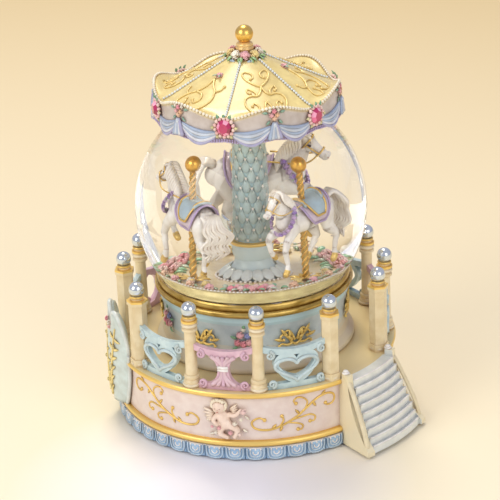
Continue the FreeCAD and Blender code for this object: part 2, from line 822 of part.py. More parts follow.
# Horse: lofted barrel, neck and head, tapered legs and a tail, bored for its pole.
# Sections are (x, z, half depth, half width) along each member, in shares of the horse's height.
horse_height = float(size("horse_height"))
TRUNK = [
    (-0.4, 0.55, 0.05, 0.05), (-0.36, 0.56, 0.125, 0.11), (-0.2, 0.56, 0.165, 0.15),
    (0.0, 0.53, 0.15, 0.15), (0.2, 0.55, 0.165, 0.14), (0.32, 0.59, 0.13, 0.1),
    (0.37, 0.61, 0.05, 0.05),
]
NECK = [
    (0.2, 0.58, 0.14, 0.09), (0.32, 0.7, 0.115, 0.075), (0.4, 0.84, 0.085, 0.058),
    (0.43, 0.93, 0.06, 0.045),
]
HEAD = [
    (0.37, 0.95, 0.045, 0.04), (0.43, 0.92, 0.075, 0.058), (0.52, 0.83, 0.055, 0.045),
    (0.6, 0.75, 0.045, 0.036), (0.63, 0.72, 0.02, 0.018),
]
TAIL = [
    (-0.36, 0.6, 0.03, 0.03), (-0.44, 0.62, 0.05, 0.045), (-0.52, 0.5, 0.065, 0.05),
    (-0.54, 0.32, 0.05, 0.04), (-0.5, 0.18, 0.012, 0.012),
]
LEGS = {
    "near_fore": (0.075, [
        (0.24, 0.5, 0.09, 0.065), (0.36, 0.38, 0.055, 0.042), (0.4, 0.28, 0.04, 0.034),
        (0.36, 0.12, 0.028, 0.026), (0.38, 0.03, 0.04, 0.036), (0.4, 0.0, 0.042, 0.038),
    ]),
    "off_fore": (-0.075, [
        (0.24, 0.5, 0.09, 0.065), (0.44, 0.46, 0.055, 0.042), (0.5, 0.42, 0.042, 0.034),
        (0.46, 0.28, 0.028, 0.026), (0.41, 0.22, 0.036, 0.034), (0.39, 0.2, 0.034, 0.034),
    ]),
    "near_hind": (0.08, [
        (-0.27, 0.54, 0.12, 0.075), (-0.29, 0.38, 0.075, 0.052), (-0.4, 0.26, 0.042, 0.034),
        (-0.36, 0.12, 0.028, 0.026), (-0.36, 0.03, 0.04, 0.036), (-0.34, 0.0, 0.042, 0.038),
    ]),
    "off_hind": (-0.08, [
        (-0.27, 0.54, 0.12, 0.075), (-0.22, 0.38, 0.075, 0.052), (-0.28, 0.26, 0.042, 0.034),
        (-0.18, 0.15, 0.028, 0.026), (-0.14, 0.08, 0.04, 0.036), (-0.12, 0.06, 0.042, 0.038),
    ]),
}


SEAM = 0.4


def member(sections, offset=0.0):
    """A loft through ellipses square to the member's run."""
    wires = []
    for index, (x, z, deep, wide) in enumerate(sections):
        before = sections[max(index - 1, 0)]
        after = sections[min(index + 1, len(sections) - 1)]
        along = Vector(after[0] - before[0], 0, after[1] - before[1]).normalize()
        depth_axis = Vector(-along.z, 0, along.x)
        centre = Vector(x, offset, z) * horse_height
        depth, width = deep * horse_height, wide * horse_height
        ring = [centre + depth_axis * (depth * math.cos(turn)) + Vector(0, width * math.sin(turn), 0)
                for turn in (math.pi / 4 * (corner + SEAM) for corner in range(8))]
        curve = Part.BSplineCurve()
        curve.interpolate(ring, PeriodicFlag=True)
        wires.append(Part.Wire([curve.toShape()]))
    return Part.makeLoft(wires, True, True)


ear = Part.makeCone(0.03 * horse_height, 0.006 * horse_height, 0.09 * horse_height)
EAR_SEAT = (0.40, 0.032, 0.935)
EAR_LEAN = 12
ears = []
for side in (-1, 1):
    seat = Vector(EAR_SEAT[0], side * EAR_SEAT[1], EAR_SEAT[2]) * horse_height
    ears.append(placed(ear, Placement(seat, Rotation(X_AXIS, -EAR_LEAN * side))))
legs = [member(run_of, side) for side, run_of in LEGS.values()]
limbs = [member(NECK), member(HEAD), member(TAIL)] + legs + ears
horse = member(TRUNK).multiFuse(limbs)
pole_bore = Part.makeCylinder(pole_radius, pole_height, Vector(0, 0, -1))
horse = horse.cut(pole_bore)

pole_circle = float(size("pole_circle"))
for number in range(1, 4):
    angle = float(size("horse_angle_%d" % number))
    feature("pole_%d" % number, pole_pattern.Shape.copy(), around(angle, pole_circle, stage_top))
    stand = around(angle, pole_circle, stage_top + size("horse_lift"))
    stand = stand.multiply(Placement(Vector(), Rotation(Z_AXIS, 180)))
    feature("horse_%d" % number, horse.copy(), stand)

# Movement bedplate on the roof of the key well.
plate_bottom = well_top + skin
plate_top = plate_bottom + size("plate_thickness")
arbor_radius = size("arbor_radius")
bearing_gap = size("bearing_gap")
barrel_radius = size("barrel_radius")
cylinder_radius = size("cylinder_radius")
bracket = size("bracket_thickness")
inner_bracket = barrel_radius + 1.0
cylinder_start = inner_bracket + bracket + 0.4
cylinder_end = cylinder_start + size("cylinder_length")
wheel_face = 1.5
wheel_start = cylinder_end + 0.4
outer_bracket = wheel_start + wheel_face + 0.4
PLATE_LEFT, PLATE_RIGHT = -18.0, 15.0
plate_back = float(outer_bracket + bracket) + 0.6
plate_front = -float(barrel_radius) - 1.0
plate_shape = Part.makeBox(PLATE_RIGHT - PLATE_LEFT, plate_back - plate_front, float(size("plate_thickness")),
                           Vector(PLATE_LEFT, plate_front, float(plate_bottom)))
upright = [edge for edge in plate_shape.Edges if abs(edge.tangentAt(edge.FirstParameter).z) > 0.9]
plate_shape = plate_shape.makeFillet(3.0, upright)
arbor_hole = Part.makeCylinder(float(arbor_radius + bearing_gap), float(plate_top))
feature("movement_bedplate", plate_shape.cut(arbor_hole))

# Winding arbor and butterfly key, turned from below in the well.
barrel_bottom = plate_top + 0.5
barrel_top = barrel_bottom + size("barrel_height")
barrel_wall = size("barrel_wall")
bore_top = barrel_top + 0.4
lobe = size("key_lobe_radius")
key_middle = feet + 1.0 + lobe
arbor_bottom = key_middle
arbor = keep(primitive("Part::Cylinder", "winding_arbor_rod", Radius=arbor_radius,
                       Height=bore_top - 0.1 - arbor_bottom), "winding_arbor")
arbor.Placement.Base.z = float(arbor_bottom)
sleeve_top = well_top + skin - 0.4
key_sleeve = primitive("Part::Cylinder", "key_sleeve", Radius=size("key_sleeve_radius"),
                       Height=sleeve_top - key_middle + 2.0)
key_sleeve.Placement.Base.z = float(key_middle) - 2.0
wing_pieces = [key_sleeve]
for side in (-1, 1):
    wing = primitive("Part::Cylinder", "key_wing", Radius=lobe, Height=size("key_thickness"))
    wing_seat = Vector(side * float(lobe) * 1.1, float(size("key_thickness")) / 2, float(key_middle))
    wing.Placement = Placement(wing_seat,
                               Rotation(X_AXIS, 90))
    wing_pieces.append(wing)
key_socket = primitive("Part::Cylinder", "key_socket", Radius=arbor_radius, Height=pole_height)
key_socket.Placement.Base.z = float(arbor_bottom)
keep(cut("key_solid", fused("key_blank", wing_pieces), key_socket), "winding_key")

# Spring barrel: a closed drum with crown teeth on its rim and a boss for the drive shaft.
boss_radius = shaft_radius + 1.6
boss_top = barrel_top + size("barrel_boss_height")
barrel_body = turned_body("barrel_body", [
    (arbor_radius + bearing_gap, barrel_bottom),
    (barrel_radius, barrel_bottom),
    (barrel_radius, barrel_top),
    (boss_radius, barrel_top),
    (boss_radius, boss_top),
    (shaft_radius, boss_top),
    (shaft_radius, bore_top + 0.8),
    (0, bore_top + 0.8),
    (0, bore_top),
    (arbor_radius + bearing_gap, bore_top),
    (arbor_radius + bearing_gap, barrel_top - barrel_wall),
    (barrel_radius - barrel_wall, barrel_top - barrel_wall),
    (barrel_radius - barrel_wall, barrel_bottom + barrel_wall),
    (arbor_radius + bearing_gap, barrel_bottom + barrel_wall),
])
document.recompute()
crown_teeth = count("crown_teeth")
crown_circle = float(size("crown_circle"))
crown_face = float(size("crown_face"))
gear_module = 2 * crown_circle / crown_teeth
ADDENDUM, DEDENDUM, PRESSURE = 0.8, 1.05, math.tan(math.radians(20))
CROWN_BACKLASH = 0.2
tooth_root = float(barrel_top)
pitch_level = tooth_root + DEDENDUM * gear_module
root_half = math.pi * gear_module / 4 - CROWN_BACKLASH + DEDENDUM * gear_module * PRESSURE
tip_half = math.pi * gear_module / 4 - CROWN_BACKLASH - ADDENDUM * gear_module * PRESSURE
tooth_tip = pitch_level + ADDENDUM * gear_module
near = -crown_circle - crown_face / 2
TOOTH_SINK = 0.2
tooth_foot = tooth_root - TOOTH_SINK
tooth_wire = Part.makePolygon([Vector(-root_half, near, tooth_foot), Vector(root_half, near, tooth_foot),
                               Vector(tip_half, near, tooth_tip), Vector(-tip_half, near, tooth_tip),
                               Vector(-root_half, near, tooth_root - 0.2)])
tooth = Part.Face(tooth_wire).extrude(Vector(0, crown_face, 0))
tooth_angles = [180.0 + (index + 0.5) * 360.0 / crown_teeth for index in range(crown_teeth)]
ring_of_teeth = [placed(tooth, around(angle)) for angle in tooth_angles]
feature("spring_barrel", barrel_body.Shape.multiFuse(ring_of_teeth).removeSplitter())

# Mainspring: a flat spiral ribbon inside the barrel.
spring_turns = count("spring_turns")
spring_inner = float(arbor_radius) + 0.8
spring_outer = float(barrel_radius - barrel_wall) - 0.4
ribbon = float(size("spring_thickness"))
spiral = ([], [])
for step in range(spring_turns * 16 + 1):
    share = step / (spring_turns * 16)
    for edge, offset in zip(spiral, (0.0, ribbon)):
        edge.append(polar(spring_inner + (spring_outer - spring_inner - ribbon) * share + offset,
                          360 * spring_turns * share, float(barrel_bottom + barrel_wall) + 0.3))
spring_edges = []
for points in spiral:
    curve = Part.BSplineCurve()
    curve.interpolate(points)
    spring_edges.append(curve.toShape())
spring_edges += [Part.makeLine(spiral[0][end], spiral[1][end]) for end in (0, -1)]
spring_face = Part.Face(Part.Wire(Part.sortEdges(spring_edges)[0]))
feature("mainspring", spring_face.extrude(Z_AXIS * (float(size("barrel_height") - barrel_wall * 2) - 0.6)))

# Drive shaft from the barrel up through the seal to the stage.
drive_shaft = keep(primitive("Part::Cylinder", "drive_shaft_rod", Radius=shaft_radius,
                             Height=stage_top - 1.4 - bore_top - 0.8), "drive_shaft")
drive_shaft.Placement.Base.z = float(bore_top) + 0.8


def gear_solid(teeth, module, face, addendum=1.0):
    """A spur gear along +Y from the origin, with a tooth pointing to +X."""
    builder = fcgear.FCWireBuilder()
    involute.CreateExternalGear(builder, module, teeth, 20, True, addendum, 1.2, 0.3, 0.0)
    wire = Part.Wire([edge.toShape() for edge in builder.wire])
    solid = Part.Face(wire).extrude(Z_AXIS * face)
    return placed(solid, Placement(Vector(), Rotation(X_AXIS, -90)))


def along_y(radius, start, end):
    return Part.makeCylinder(radius, end - start, Vector(0, start, 0), Vector(0, 1, 0))


# Music cylinder: a pinned brass drum on its own arbor, driven by the crown teeth.
pinion_teeth = count("pinion_teeth")
axis_level = pitch_level + gear_module * pinion_teeth / 2
spindle = float(size("spindle_radius"))
far_end = float(outer_bracket + bracket)
pinion = gear_solid(pinion_teeth, gear_module, crown_face, ADDENDUM)
pinion_seat = Vector(0, crown_circle - crown_face / 2, 0)
pinion = placed(pinion, Placement(pinion_seat, Rotation(Vector(0, 1, 0), 90)))
wheel_teeth = count("governor_wheel_teeth")
governor_module = float(size("governor_module"))
tilt = float(size("governor_tilt"))
wheel = gear_solid(wheel_teeth, governor_module, wheel_face)
wheel = placed(wheel, Placement(Vector(0, float(wheel_start), 0), Rotation(Vector(0, 1, 0), -tilt)))
on_axis = Placement(Vector(0, 0, axis_level), Rotation())
cylinder_rod = along_y(spindle, crown_circle - crown_face / 2 - 0.6, far_end)
feature("cylinder_arbor", cylinder_rod.multiFuse([pinion, wheel]), on_axis)

pin_height = float(size("pin_height"))
tracks = count("pin_tracks")
pins_per_track = count("pins_per_track")
drum_start, drum_end = float(cylinder_start), float(cylinder_end)
track_pitch = (drum_end - drum_start) / (tracks + 1)
cylinder_rim = float(cylinder_radius)
PIN_TURN = 137.5
PIN_RADIUS = 0.2
pins = []
for track in range(tracks):
    for number in range(pins_per_track):
        turn = math.radians(PIN_TURN * (track + 1) + 360.0 * number / pins_per_track)
        out = Vector(math.cos(turn), 0, math.sin(turn))
        foot = out * (cylinder_rim - 0.3) + Vector(0, drum_start + track_pitch * (track + 1), 0)
        pins.append(Part.makeCylinder(PIN_RADIUS, pin_height + 0.3, foot, out))
pinned = along_y(cylinder_rim, drum_start, drum_end).multiFuse(pins)
pinned = pinned.cut(along_y(spindle, drum_start, drum_end))
feature("music_cylinder", pinned, on_axis)

# Comb: a steel plate cut into tongues, screwed on a block beside the cylinder.
comb_tip = -(cylinder_rim + pin_height + float(size("comb_gap")))
comb_length = float(size("comb_length"))
comb_thickness = float(size("comb_thickness"))
comb = Part.makeBox(comb_length, drum_end - drum_start, comb_thickness,
                    Vector(comb_tip - comb_length, drum_start, axis_level))
SLOT = 0.25
slots = []
for track in range(tracks + 1):
    reach = comb_length * (0.42 + 0.22 * track / tracks)
    slots.append(Part.makeBox(reach, SLOT, comb_thickness * 3,
                              Vector(comb_tip - reach, drum_start + track_pitch * (track + 0.5) - SLOT / 2,
                                     axis_level - comb_thickness)))
feature("music_comb", comb.cut(slots))
block_width = comb_length * 0.3
feature("comb_block", Part.makeBox(block_width, drum_end - drum_start, axis_level - float(plate_top),
                                   Vector(comb_tip - comb_length, drum_start, float(plate_top))))

# Governor: a fan on a fast arbor that meshes with the wheel on the cylinder.
governor_teeth = count("governor_pinion_teeth")
MESH_PLAY = 0.14
arm = governor_module * (wheel_teeth + governor_teeth) / 2 + MESH_PLAY
governor_at = Vector(arm * math.cos(math.radians(tilt)), 0, axis_level + arm * math.sin(math.radians(tilt)))
half_tooth = 180.0 / governor_teeth
governor_pinion = gear_solid(governor_teeth, governor_module, wheel_face)
governor_pinion = placed(governor_pinion, Placement(Vector(0, float(wheel_start), 0),
                                                    Rotation(Vector(0, 1, 0), -tilt + 180 + half_tooth)))
governor_rod = along_y(spindle, float(inner_bracket), far_end)
feature("governor_arbor", governor_rod.fuse(governor_pinion), Placement(governor_at, Rotation()))
fan_start = drum_start + 2.0
FAN_LENGTH, FAN_SHEET = 7.0, 0.5
fan_radius = float(size("fan_radius"))
fan_sleeve = along_y(spindle + 0.7, fan_start, fan_start + FAN_LENGTH)
fan_corner = Vector(-fan_radius, fan_start, -FAN_SHEET / 2)
fan_blade = Part.makeBox(fan_radius * 2, FAN_LENGTH, FAN_SHEET, fan_corner)
fan = fan_sleeve.fuse(fan_blade).cut(along_y(spindle, fan_start, fan_start + FAN_LENGTH))
feature("governor_fan", fan, Placement(governor_at, Rotation()))

# Brackets: two upright plates that carry the cylinder and governor arbors.
governor_x, governor_z = governor_at.x, governor_at.z
BRACKET_LEFT, BRACKET_RIM = -4.0, 2.2
bracket_right = governor_x + BRACKET_RIM
bracket_outline = [(BRACKET_LEFT, float(plate_top)), (bracket_right, float(plate_top)),
                   (bracket_right, governor_z + BRACKET_RIM),
                   (governor_x - 2.6, governor_z + 2.2), (-4.0, axis_level + 3.0)]
bracket_holes = [Part.makeCylinder(spindle + float(bearing_gap), far_end, spot, Vector(0, 1, 0))
                 for spot in (Vector(0, 0, axis_level), Vector(governor_x, 0, governor_z))]
brackets = []
for start in (float(inner_bracket), float(outer_bracket)):
    corners = [Vector(x, start, z) for x, z in bracket_outline + bracket_outline[:1]]
    plate = Part.Face(Part.makePolygon(corners)).extrude(Vector(0, float(bracket), 0))
    brackets.append(plate.cut(bracket_holes))
feature("arbor_brackets", Part.makeCompound(brackets))

# Check every object, then write each sub-part to its own file.
document.recompute()
for item in document.Objects:
    if "Invalid" in item.State or "Error" in item.State:
        raise ValueError("%s failed to build" % item.Label)
os.makedirs("parts", exist_ok=True)
for item in sub_parts:
    if item.Shape.isNull() or not item.Shape.isValid():
        raise ValueError("%s is not a valid shape" % item.Label)
    item.Shape.exportStep("parts/%s.step" % item.Label)
print("%d sub-parts" % len(sub_parts))
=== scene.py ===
import math

import bpy
import numpy as np
from mathutils import Matrix, Vector


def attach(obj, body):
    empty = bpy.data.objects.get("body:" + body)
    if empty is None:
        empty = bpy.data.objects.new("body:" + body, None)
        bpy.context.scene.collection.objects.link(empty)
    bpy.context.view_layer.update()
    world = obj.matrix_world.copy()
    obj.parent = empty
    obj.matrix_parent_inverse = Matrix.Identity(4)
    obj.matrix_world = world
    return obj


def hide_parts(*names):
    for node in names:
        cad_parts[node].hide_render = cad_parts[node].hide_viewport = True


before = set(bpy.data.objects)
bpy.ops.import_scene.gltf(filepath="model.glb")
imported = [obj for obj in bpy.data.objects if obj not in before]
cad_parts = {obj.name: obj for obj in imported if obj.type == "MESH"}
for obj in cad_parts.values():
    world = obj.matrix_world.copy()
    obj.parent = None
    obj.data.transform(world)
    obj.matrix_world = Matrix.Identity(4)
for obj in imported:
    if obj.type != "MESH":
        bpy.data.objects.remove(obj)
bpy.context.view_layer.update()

# Base drum: a cast resin drum in pearly cream with a gilt bead at each edge and a yellow-cream deck.
# The lobed foot is glued under it. Both are sprayed and the beads are gilded; painted shade darkens the hollows.
MM = 0.001


def srgb(red, green, blue):
    linear = [c / 3294.6 if c <= 10 else ((c / 255 + 0.055) / 1.055) ** 2.4 for c in (red, green, blue)]
    return (*linear, 1.0)


GILT = srgb(244, 208, 116)
GILT_SHINE, LACQUER, SHADE_REACH, GRAIN_DEPTH = 0.5, 0.22, 2.2 * MM, 0.15 * MM


def node(tree, kind, **values):
    made = tree.nodes.new(kind)
    for key, value in values.items():
        if hasattr(made, key):
            setattr(made, key, value)
        else:
            made.inputs[key.replace("_", " ")].default_value = value
    return made


def mixed(tree, mask, first, second, blend="MIX"):
    mix = node(tree, "ShaderNodeMix", data_type="RGBA", blend_type=blend)
    if isinstance(mask, float):
        mix.inputs["Factor"].default_value = mask
    else:
        tree.links.new(mask, mix.inputs["Factor"])
    for socket, value in ((mix.inputs["A"], first), (mix.inputs["B"], second)):
        socket = [s for s in mix.inputs if s.name == socket.name and s.type == "RGBA"][0]
        if isinstance(value, tuple):
            socket.default_value = value
        else:
            tree.links.new(value, socket)
    return [s for s in mix.outputs if s.type == "RGBA"][0]


def sums(tree, operation, first, second):
    made = node(tree, "ShaderNodeMath", operation=operation)
    for socket, value in zip(made.inputs, (first, second)):
        if isinstance(value, (int, float)):
            socket.default_value = value
        else:
            tree.links.new(value, socket)
    return made.outputs[0]


def stretched(tree, value, low, high):
    made = node(tree, "ShaderNodeMapRange")
    made.inputs["From Min"].default_value = low
    made.inputs["From Max"].default_value = high
    tree.links.new(value, made.inputs["Value"])
    return made.outputs[0]


def zone_mask(tree, coords, limits):
    mask = None
    for axis, low, high in limits:
        band = node(tree, "ShaderNodeMath", operation="COMPARE")
        tree.links.new(coords[axis], band.inputs[0])
        band.inputs[1].default_value = (low + high) / 2 * MM
        band.inputs[2].default_value = (high - low) / 2 * MM
        mask = band.outputs[0] if mask is None else sums(tree, "MULTIPLY", mask, band.outputs[0])
    return mask


def paint(name, light, dark, rough=0.36, zones=(), hollow_shade=None, metal=0.0, grain=240.0, tint=False, bump=0.12):
    material = bpy.data.materials.new(name)
    material.use_nodes = True
    tree = material.node_tree
    shader = tree.nodes["Principled BSDF"]
    place = node(tree, "ShaderNodeTexCoord").outputs["Object"]
    cloud = node(tree, "ShaderNodeTexNoise", Scale=grain, Detail=3.0)
    tree.links.new(place, cloud.inputs["Vector"])
    colour = mixed(tree, stretched(tree, cloud.outputs["Fac"], 0.35, 0.68), dark, light)
    gilding = None
    if tint:
        own = node(tree, "ShaderNodeAttribute", attribute_name="tint")
        colour = mixed(tree, 1.0, own.outputs["Color"], colour, "MULTIPLY")
        gilding = own.outputs["Alpha"]
    part = node(tree, "ShaderNodeSeparateXYZ")
    tree.links.new(place, part.inputs[0])
    coords = {"x": part.outputs[0], "y": part.outputs[1], "z": part.outputs[2]}
    if any(limit[0] == "r" for zone in zones for limit in zone[0]):
        squares = [sums(tree, "MULTIPLY", part.outputs[k], part.outputs[k]) for k in (0, 1)]
        coords["r"] = sums(tree, "SQRT", sums(tree, "ADD", *squares), 0.0)
    if any(limit[0] == "a" for zone in zones for limit in zone[0]):
        bearing = sums(tree, "ARCTAN2", part.outputs[0], sums(tree, "MULTIPLY", part.outputs[1], -1.0))
        coords["a"] = sums(tree, "MULTIPLY", bearing, math.degrees(1) * MM)
    for limits, zone_colour, zone_gilt in zones:
        mask = zone_mask(tree, coords, limits)
        colour = mixed(tree, mask, colour, zone_colour)
        if zone_gilt:
            gilding = mask if gilding is None else sums(tree, "MAXIMUM", gilding, mask)
        elif gilding is not None:
            gilding = sums(tree, "MULTIPLY", gilding, sums(tree, "SUBTRACT", 1.0, mask))
    # Painted shade: where ambient occlusion finds a hollow, the colour is multiplied darker towards the given tint.
    if hollow_shade:
        hollow = node(tree, "ShaderNodeAmbientOcclusion", samples=3, Distance=SHADE_REACH)
        open_air = stretched(tree, hollow.outputs["AO"], 0.25, 0.8)
        shaded_colour = mixed(tree, 1.0, colour, tuple(0.4 + 0.6 * c for c in hollow_shade), "MULTIPLY")
        colour = mixed(tree, open_air, shaded_colour, colour)
    tree.links.new(colour, shader.inputs["Base Color"])
    shader.inputs["Roughness"].default_value = rough
    shader.inputs["Coat Weight"].default_value = LACQUER if metal < 1 else 0.0
    shader.inputs["Coat Roughness"].default_value = 0.2
    shader.inputs["Metallic"].default_value = metal
    if gilding is not None:
        tree.links.new(sums(tree, "MULTIPLY", gilding, GILT_SHINE), shader.inputs["Metallic"])
    fine = node(tree, "ShaderNodeTexNoise", Scale=grain * 5, Detail=2.0)
    tree.links.new(place, fine.inputs["Vector"])
    relief = node(tree, "ShaderNodeBump", Strength=bump, Distance=GRAIN_DEPTH)
    tree.links.new(fine.outputs["Fac"], relief.inputs["Height"])
    tree.links.new(relief.outputs["Normal"], shader.inputs["Normal"])
    return material


def finish_node(name, material):
    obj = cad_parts[name]
    if not obj.material_slots:
        obj.data.materials.append(material)
    for slot in obj.material_slots:
        slot.material = material


# Brown tint of the painted shade in the hollows.
BROWN_HOLLOW_SHADE = srgb(196, 160, 120)
cream_paint = paint(
    "cream_drum_paint", srgb(234, 220, 210), srgb(226, 208, 198), hollow_shade=BROWN_HOLLOW_SHADE,
    zones=(
        ([("z", 6.2, 9.0)], GILT, True),
        ([("z", 28.7, 31.25), ("r", 58.0, 63.0)], GILT, True),
        ([("z", 31.2, 33.0)], srgb(230, 210, 158), False),
    ),
)
finish_node("base_drum", cream_paint)
foot_paint = paint(
    "foot_paint", srgb(174, 206, 230), srgb(154, 188, 218), hollow_shade=srgb(120, 130, 160),
    zones=(([("z", 5.9, 7.0)], srgb(226, 222, 214), False),),
)
finish_node("foot_moulding", foot_paint)


# Gilt scrollwork: raised stems with curled tips, cast with the drum wall and gilded.
# It stops at the figure in front, at the stair and at the side crest.
# Like all the ornament, it is built up in a mould from balls, stems, leaves and roses.
class Mould:
    """Gathers small shapes in millimetres, each with its own tint, into one mesh."""

    PETAL_ROWS = ((5, 0.72, 0.0, 0.55, 0.55), (4, 0.5, 0.32, 0.25, 0.3), (3, 0.26, 0.55, 0.1, 0.0))

    def __init__(self):
        self.points = []
        self.faces = []
        self.tints = []

    def add(self, points, faces, tint, gilt=0.0):
        start = len(self.points)
        self.points.extend(tuple(p) for p in points)
        self.faces.extend(tuple(start + k for k in face) for face in faces)
        self.tints.extend([(*tint[:3], gilt)] * len(points))

    def ball(self, centre, radii, tint, gilt=0.0, turn=None, segments=12, rings=8):
        turn = turn or Matrix.Identity(3)
        points = [Vector((0, 0, radii[2]))]
        for i in range(1, rings):
            tilt = math.pi * i / rings
            for j in range(segments):
                around = 2 * math.pi * j / segments
                points.append(Vector((
                    radii[0] * math.sin(tilt) * math.cos(around),
                    radii[1] * math.sin(tilt) * math.sin(around),
                    radii[2] * math.cos(tilt),
                )))
        points.append(Vector((0, 0, -radii[2])))
        last = len(points) - 1
        faces = []
        for j in range(segments):
            k = (j + 1) % segments
            faces.append((0, 1 + j, 1 + k))
            for i in range(rings - 2):
                a = 1 + i * segments
                faces.append((a + j, a + segments + j, a + segments + k, a + k))
            a = 1 + (rings - 2) * segments
            faces.append((a + j, last, a + k))
        self.add([Vector(centre) + turn @ p for p in points], faces, tint, gilt)

    def knob(self, centre, size, tint, gilt=0.0):
        self.ball(centre, (size,) * 3, tint, gilt, segments=8, rings=6)

    def tube(self, path, radii, tint, gilt=0.0, sides=7, flat=1.0, facing=None):
        path = [Vector(p) for p in path]
        if isinstance(radii, (int, float)):
            radii = [radii] * len(path)
        points = []
        side = None
        for i, p in enumerate(path):
            ahead = (path[min(i + 1, len(path) - 1)] - path[max(i - 1, 0)]).normalized()
            if facing is not None:
                out = facing[i] if isinstance(facing, list) else facing
                side = ahead.cross(Vector(out))
            elif side is None:
                side = ahead.cross(Vector((0.3, 0.2, 0.9)))
            side = (side - ahead * side.dot(ahead)).normalized()
            lift = side.cross(ahead)
            for j in range(sides):
                around = 2 * math.pi * j / sides
                points.append(p + (side * math.cos(around) + lift * math.sin(around) * flat) * radii[i])
        faces = [tuple(range(sides - 1, -1, -1))]
        for i in range(len(path) - 1):
            for j in range(sides):
                k = (j + 1) % sides
                faces.append((i * sides + j, i * sides + k, i * sides + sides + k, i * sides + sides + j))
        faces.append(tuple(range((len(path) - 1) * sides, len(path) * sides)))
        self.add(points, faces, tint, gilt)

    def leaf(self, root, along, out, length, width, tint, gilt=0.0):
        root, along, out = Vector(root), Vector(along).normalized(), Vector(out)
        out = (out - along * out.dot(along)).normalized()
        side = along.cross(out)
        points = []
        for share, wide, lift in ((0, 0.15, 0.0), (0.35, 1.0, 0.22), (0.7, 0.75, 0.2), (1, 0.06, 0.0)):
            middle = root + along * length * share + out * width * lift
            half = side * width / 2 * wide
            points += [middle - half, middle + out * width * 0.22 * wide, middle + half, middle - out * width * 0.25]
        faces = []
        for i in range(3):
            a, b = i * 4, i * 4 + 4
            for j in range(4):
                k = (j + 1) % 4
                faces.append((a + k, a + j, b + j, b + k))
        faces += [(0, 1, 2, 3), (15, 14, 13, 12)]
        self.add(points, faces, tint, gilt)

    def rose(self, centre, out, size, tint):
        out = Vector(out).normalized()
        side = out.orthogonal().normalized()
        other = out.cross(side)
        deep = tuple(c * s for c, s in zip(tint[:3], (0.96, 0.8, 0.84)))
        self.ball(Vector(centre) + out * size * 0.25, (size * 0.42,) * 3, deep, segments=7, rings=5)
        for count, reach, lift, lean, shade in self.PETAL_ROWS:
            colour = tuple(a * (1 - shade * 0.3) + b * shade * 0.3 for a, b in zip(tint[:3], (1, 1, 1)))
            for i in range(count):
                turn = 2 * math.pi * (i + 0.37 * count) / count
                away = side * math.cos(turn) + other * math.sin(turn)
                across = away.cross(out)
                along = (out * lean + away * (1 - lean)).normalized()
                petal = Matrix((across, along, across.cross(along))).transposed()
                self.ball(
                    Vector(centre) + away * size * reach + out * size * lift,
                    (size * 0.46, size * 0.34, size * 0.16), colour, turn=petal, segments=7, rings=4,
                )

    def mesh(self, name):
        made = bpy.data.meshes.new(name)
        made.from_pydata([tuple(c * MM for c in p) for p in self.points], [], self.faces)
        colours = made.attributes.new("tint", "FLOAT_COLOR", "POINT")
        colours.data.foreach_set("color", np.array(self.tints, dtype=np.float32).ravel())
        return made

    def make(self, name, material, body, slot, replaces=(), smooth=True):
        mesh = self.mesh(name)
        mesh.materials.append(material)
        if smooth:
            mesh.shade_smooth()
        obj = fixed_piece(name, mesh, body)
        if replaces:
            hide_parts(*replaces)


def fixed_piece(name, mesh, body):
    obj = bpy.data.objects.new(name, mesh)
    bpy.context.scene.collection.objects.link(obj)
    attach(obj, body)
    return obj


ornament_paint = paint(
    "ornament_paint", srgb(255, 255, 255), srgb(236, 232, 228), rough=0.32, hollow_shade=srgb(190, 160, 130), tint=True,
)


def polar(azimuth, radius, height):
    turn = math.radians(azimuth)
    return Vector((radius * math.sin(turn), -radius * math.cos(turn), height))


WALL, WALL_MIDDLE = 59.6, 19.2
FIGURE_SIDE, BACK_START, BACK_PITCH, STEM_SPAN = 10.5, 81, 39.4, 36.6
STEM = [
    (6.0, -1.0), (4.1, 0.0), (1.9, -0.7), (0.6, -2.4), (1.9, -4.7), (5.7, -5.7), (10.1, -5.3), (15.1, -3.4),
    (20.1, -0.7), (24.5, 2.7), (28.9, 5.7), (33.3, 6.9), (36.5, 6.1), (37.5, 4.1), (36.5, 2.0), (34.0, 1.5),
    (33.0, 2.6),
]
TWIGS = [
    [(23.5, 1.9), (24.6, 5.2), (22.6, 7.4), (20.1, 7.8), (18.6, 6.4), (19.6, 5.2)],
    [(17.0, -2.4), (22.0, -1.4), (25.8, -1.0), (28.0, -2.4), (27.4, -4.2), (25.6, -4.1)],
    [(15.8, -3.1), (20.1, -4.1), (22.3, -5.4), (21.7, -7.1), (20.2, -6.9)],
    [(12.0, -4.9), (14.0, -1.9), (13.4, 0.2)],
]
STEM_LEAVES = [(21, 0.2, -2, 2.4), (27, 4.6, 1.5, -2.4), (9, -5.4, 2, 2.2), (31, 6.6, 2, 1.8), (13.5, -4.2, -1, -2.4)]


def smooth_path(points, steps=5):
    points = [Vector((*p, 0)) if len(p) == 2 else Vector(p) for p in points]
    ends = [points[0] * 2 - points[1], *points, points[-1] * 2 - points[-2]]
    path = []
    for a, b, c, d in zip(ends, ends[1:], ends[2:], ends[3:]):
        for k in range(steps):
            t = k / steps
            path.append(0.5 * (
                2 * b + (c - a) * t + (2 * a - 5 * b + 4 * c - d) * t * t + (3 * b - a - 3 * c + d) * t ** 3
            ))
    return path + [points[-1]]


def on_wall(path, start, way, radius=WALL, level=WALL_MIDDLE):
    return [polar(start + way * math.degrees(p[0] / radius), radius, level + p[1]) for p in path]


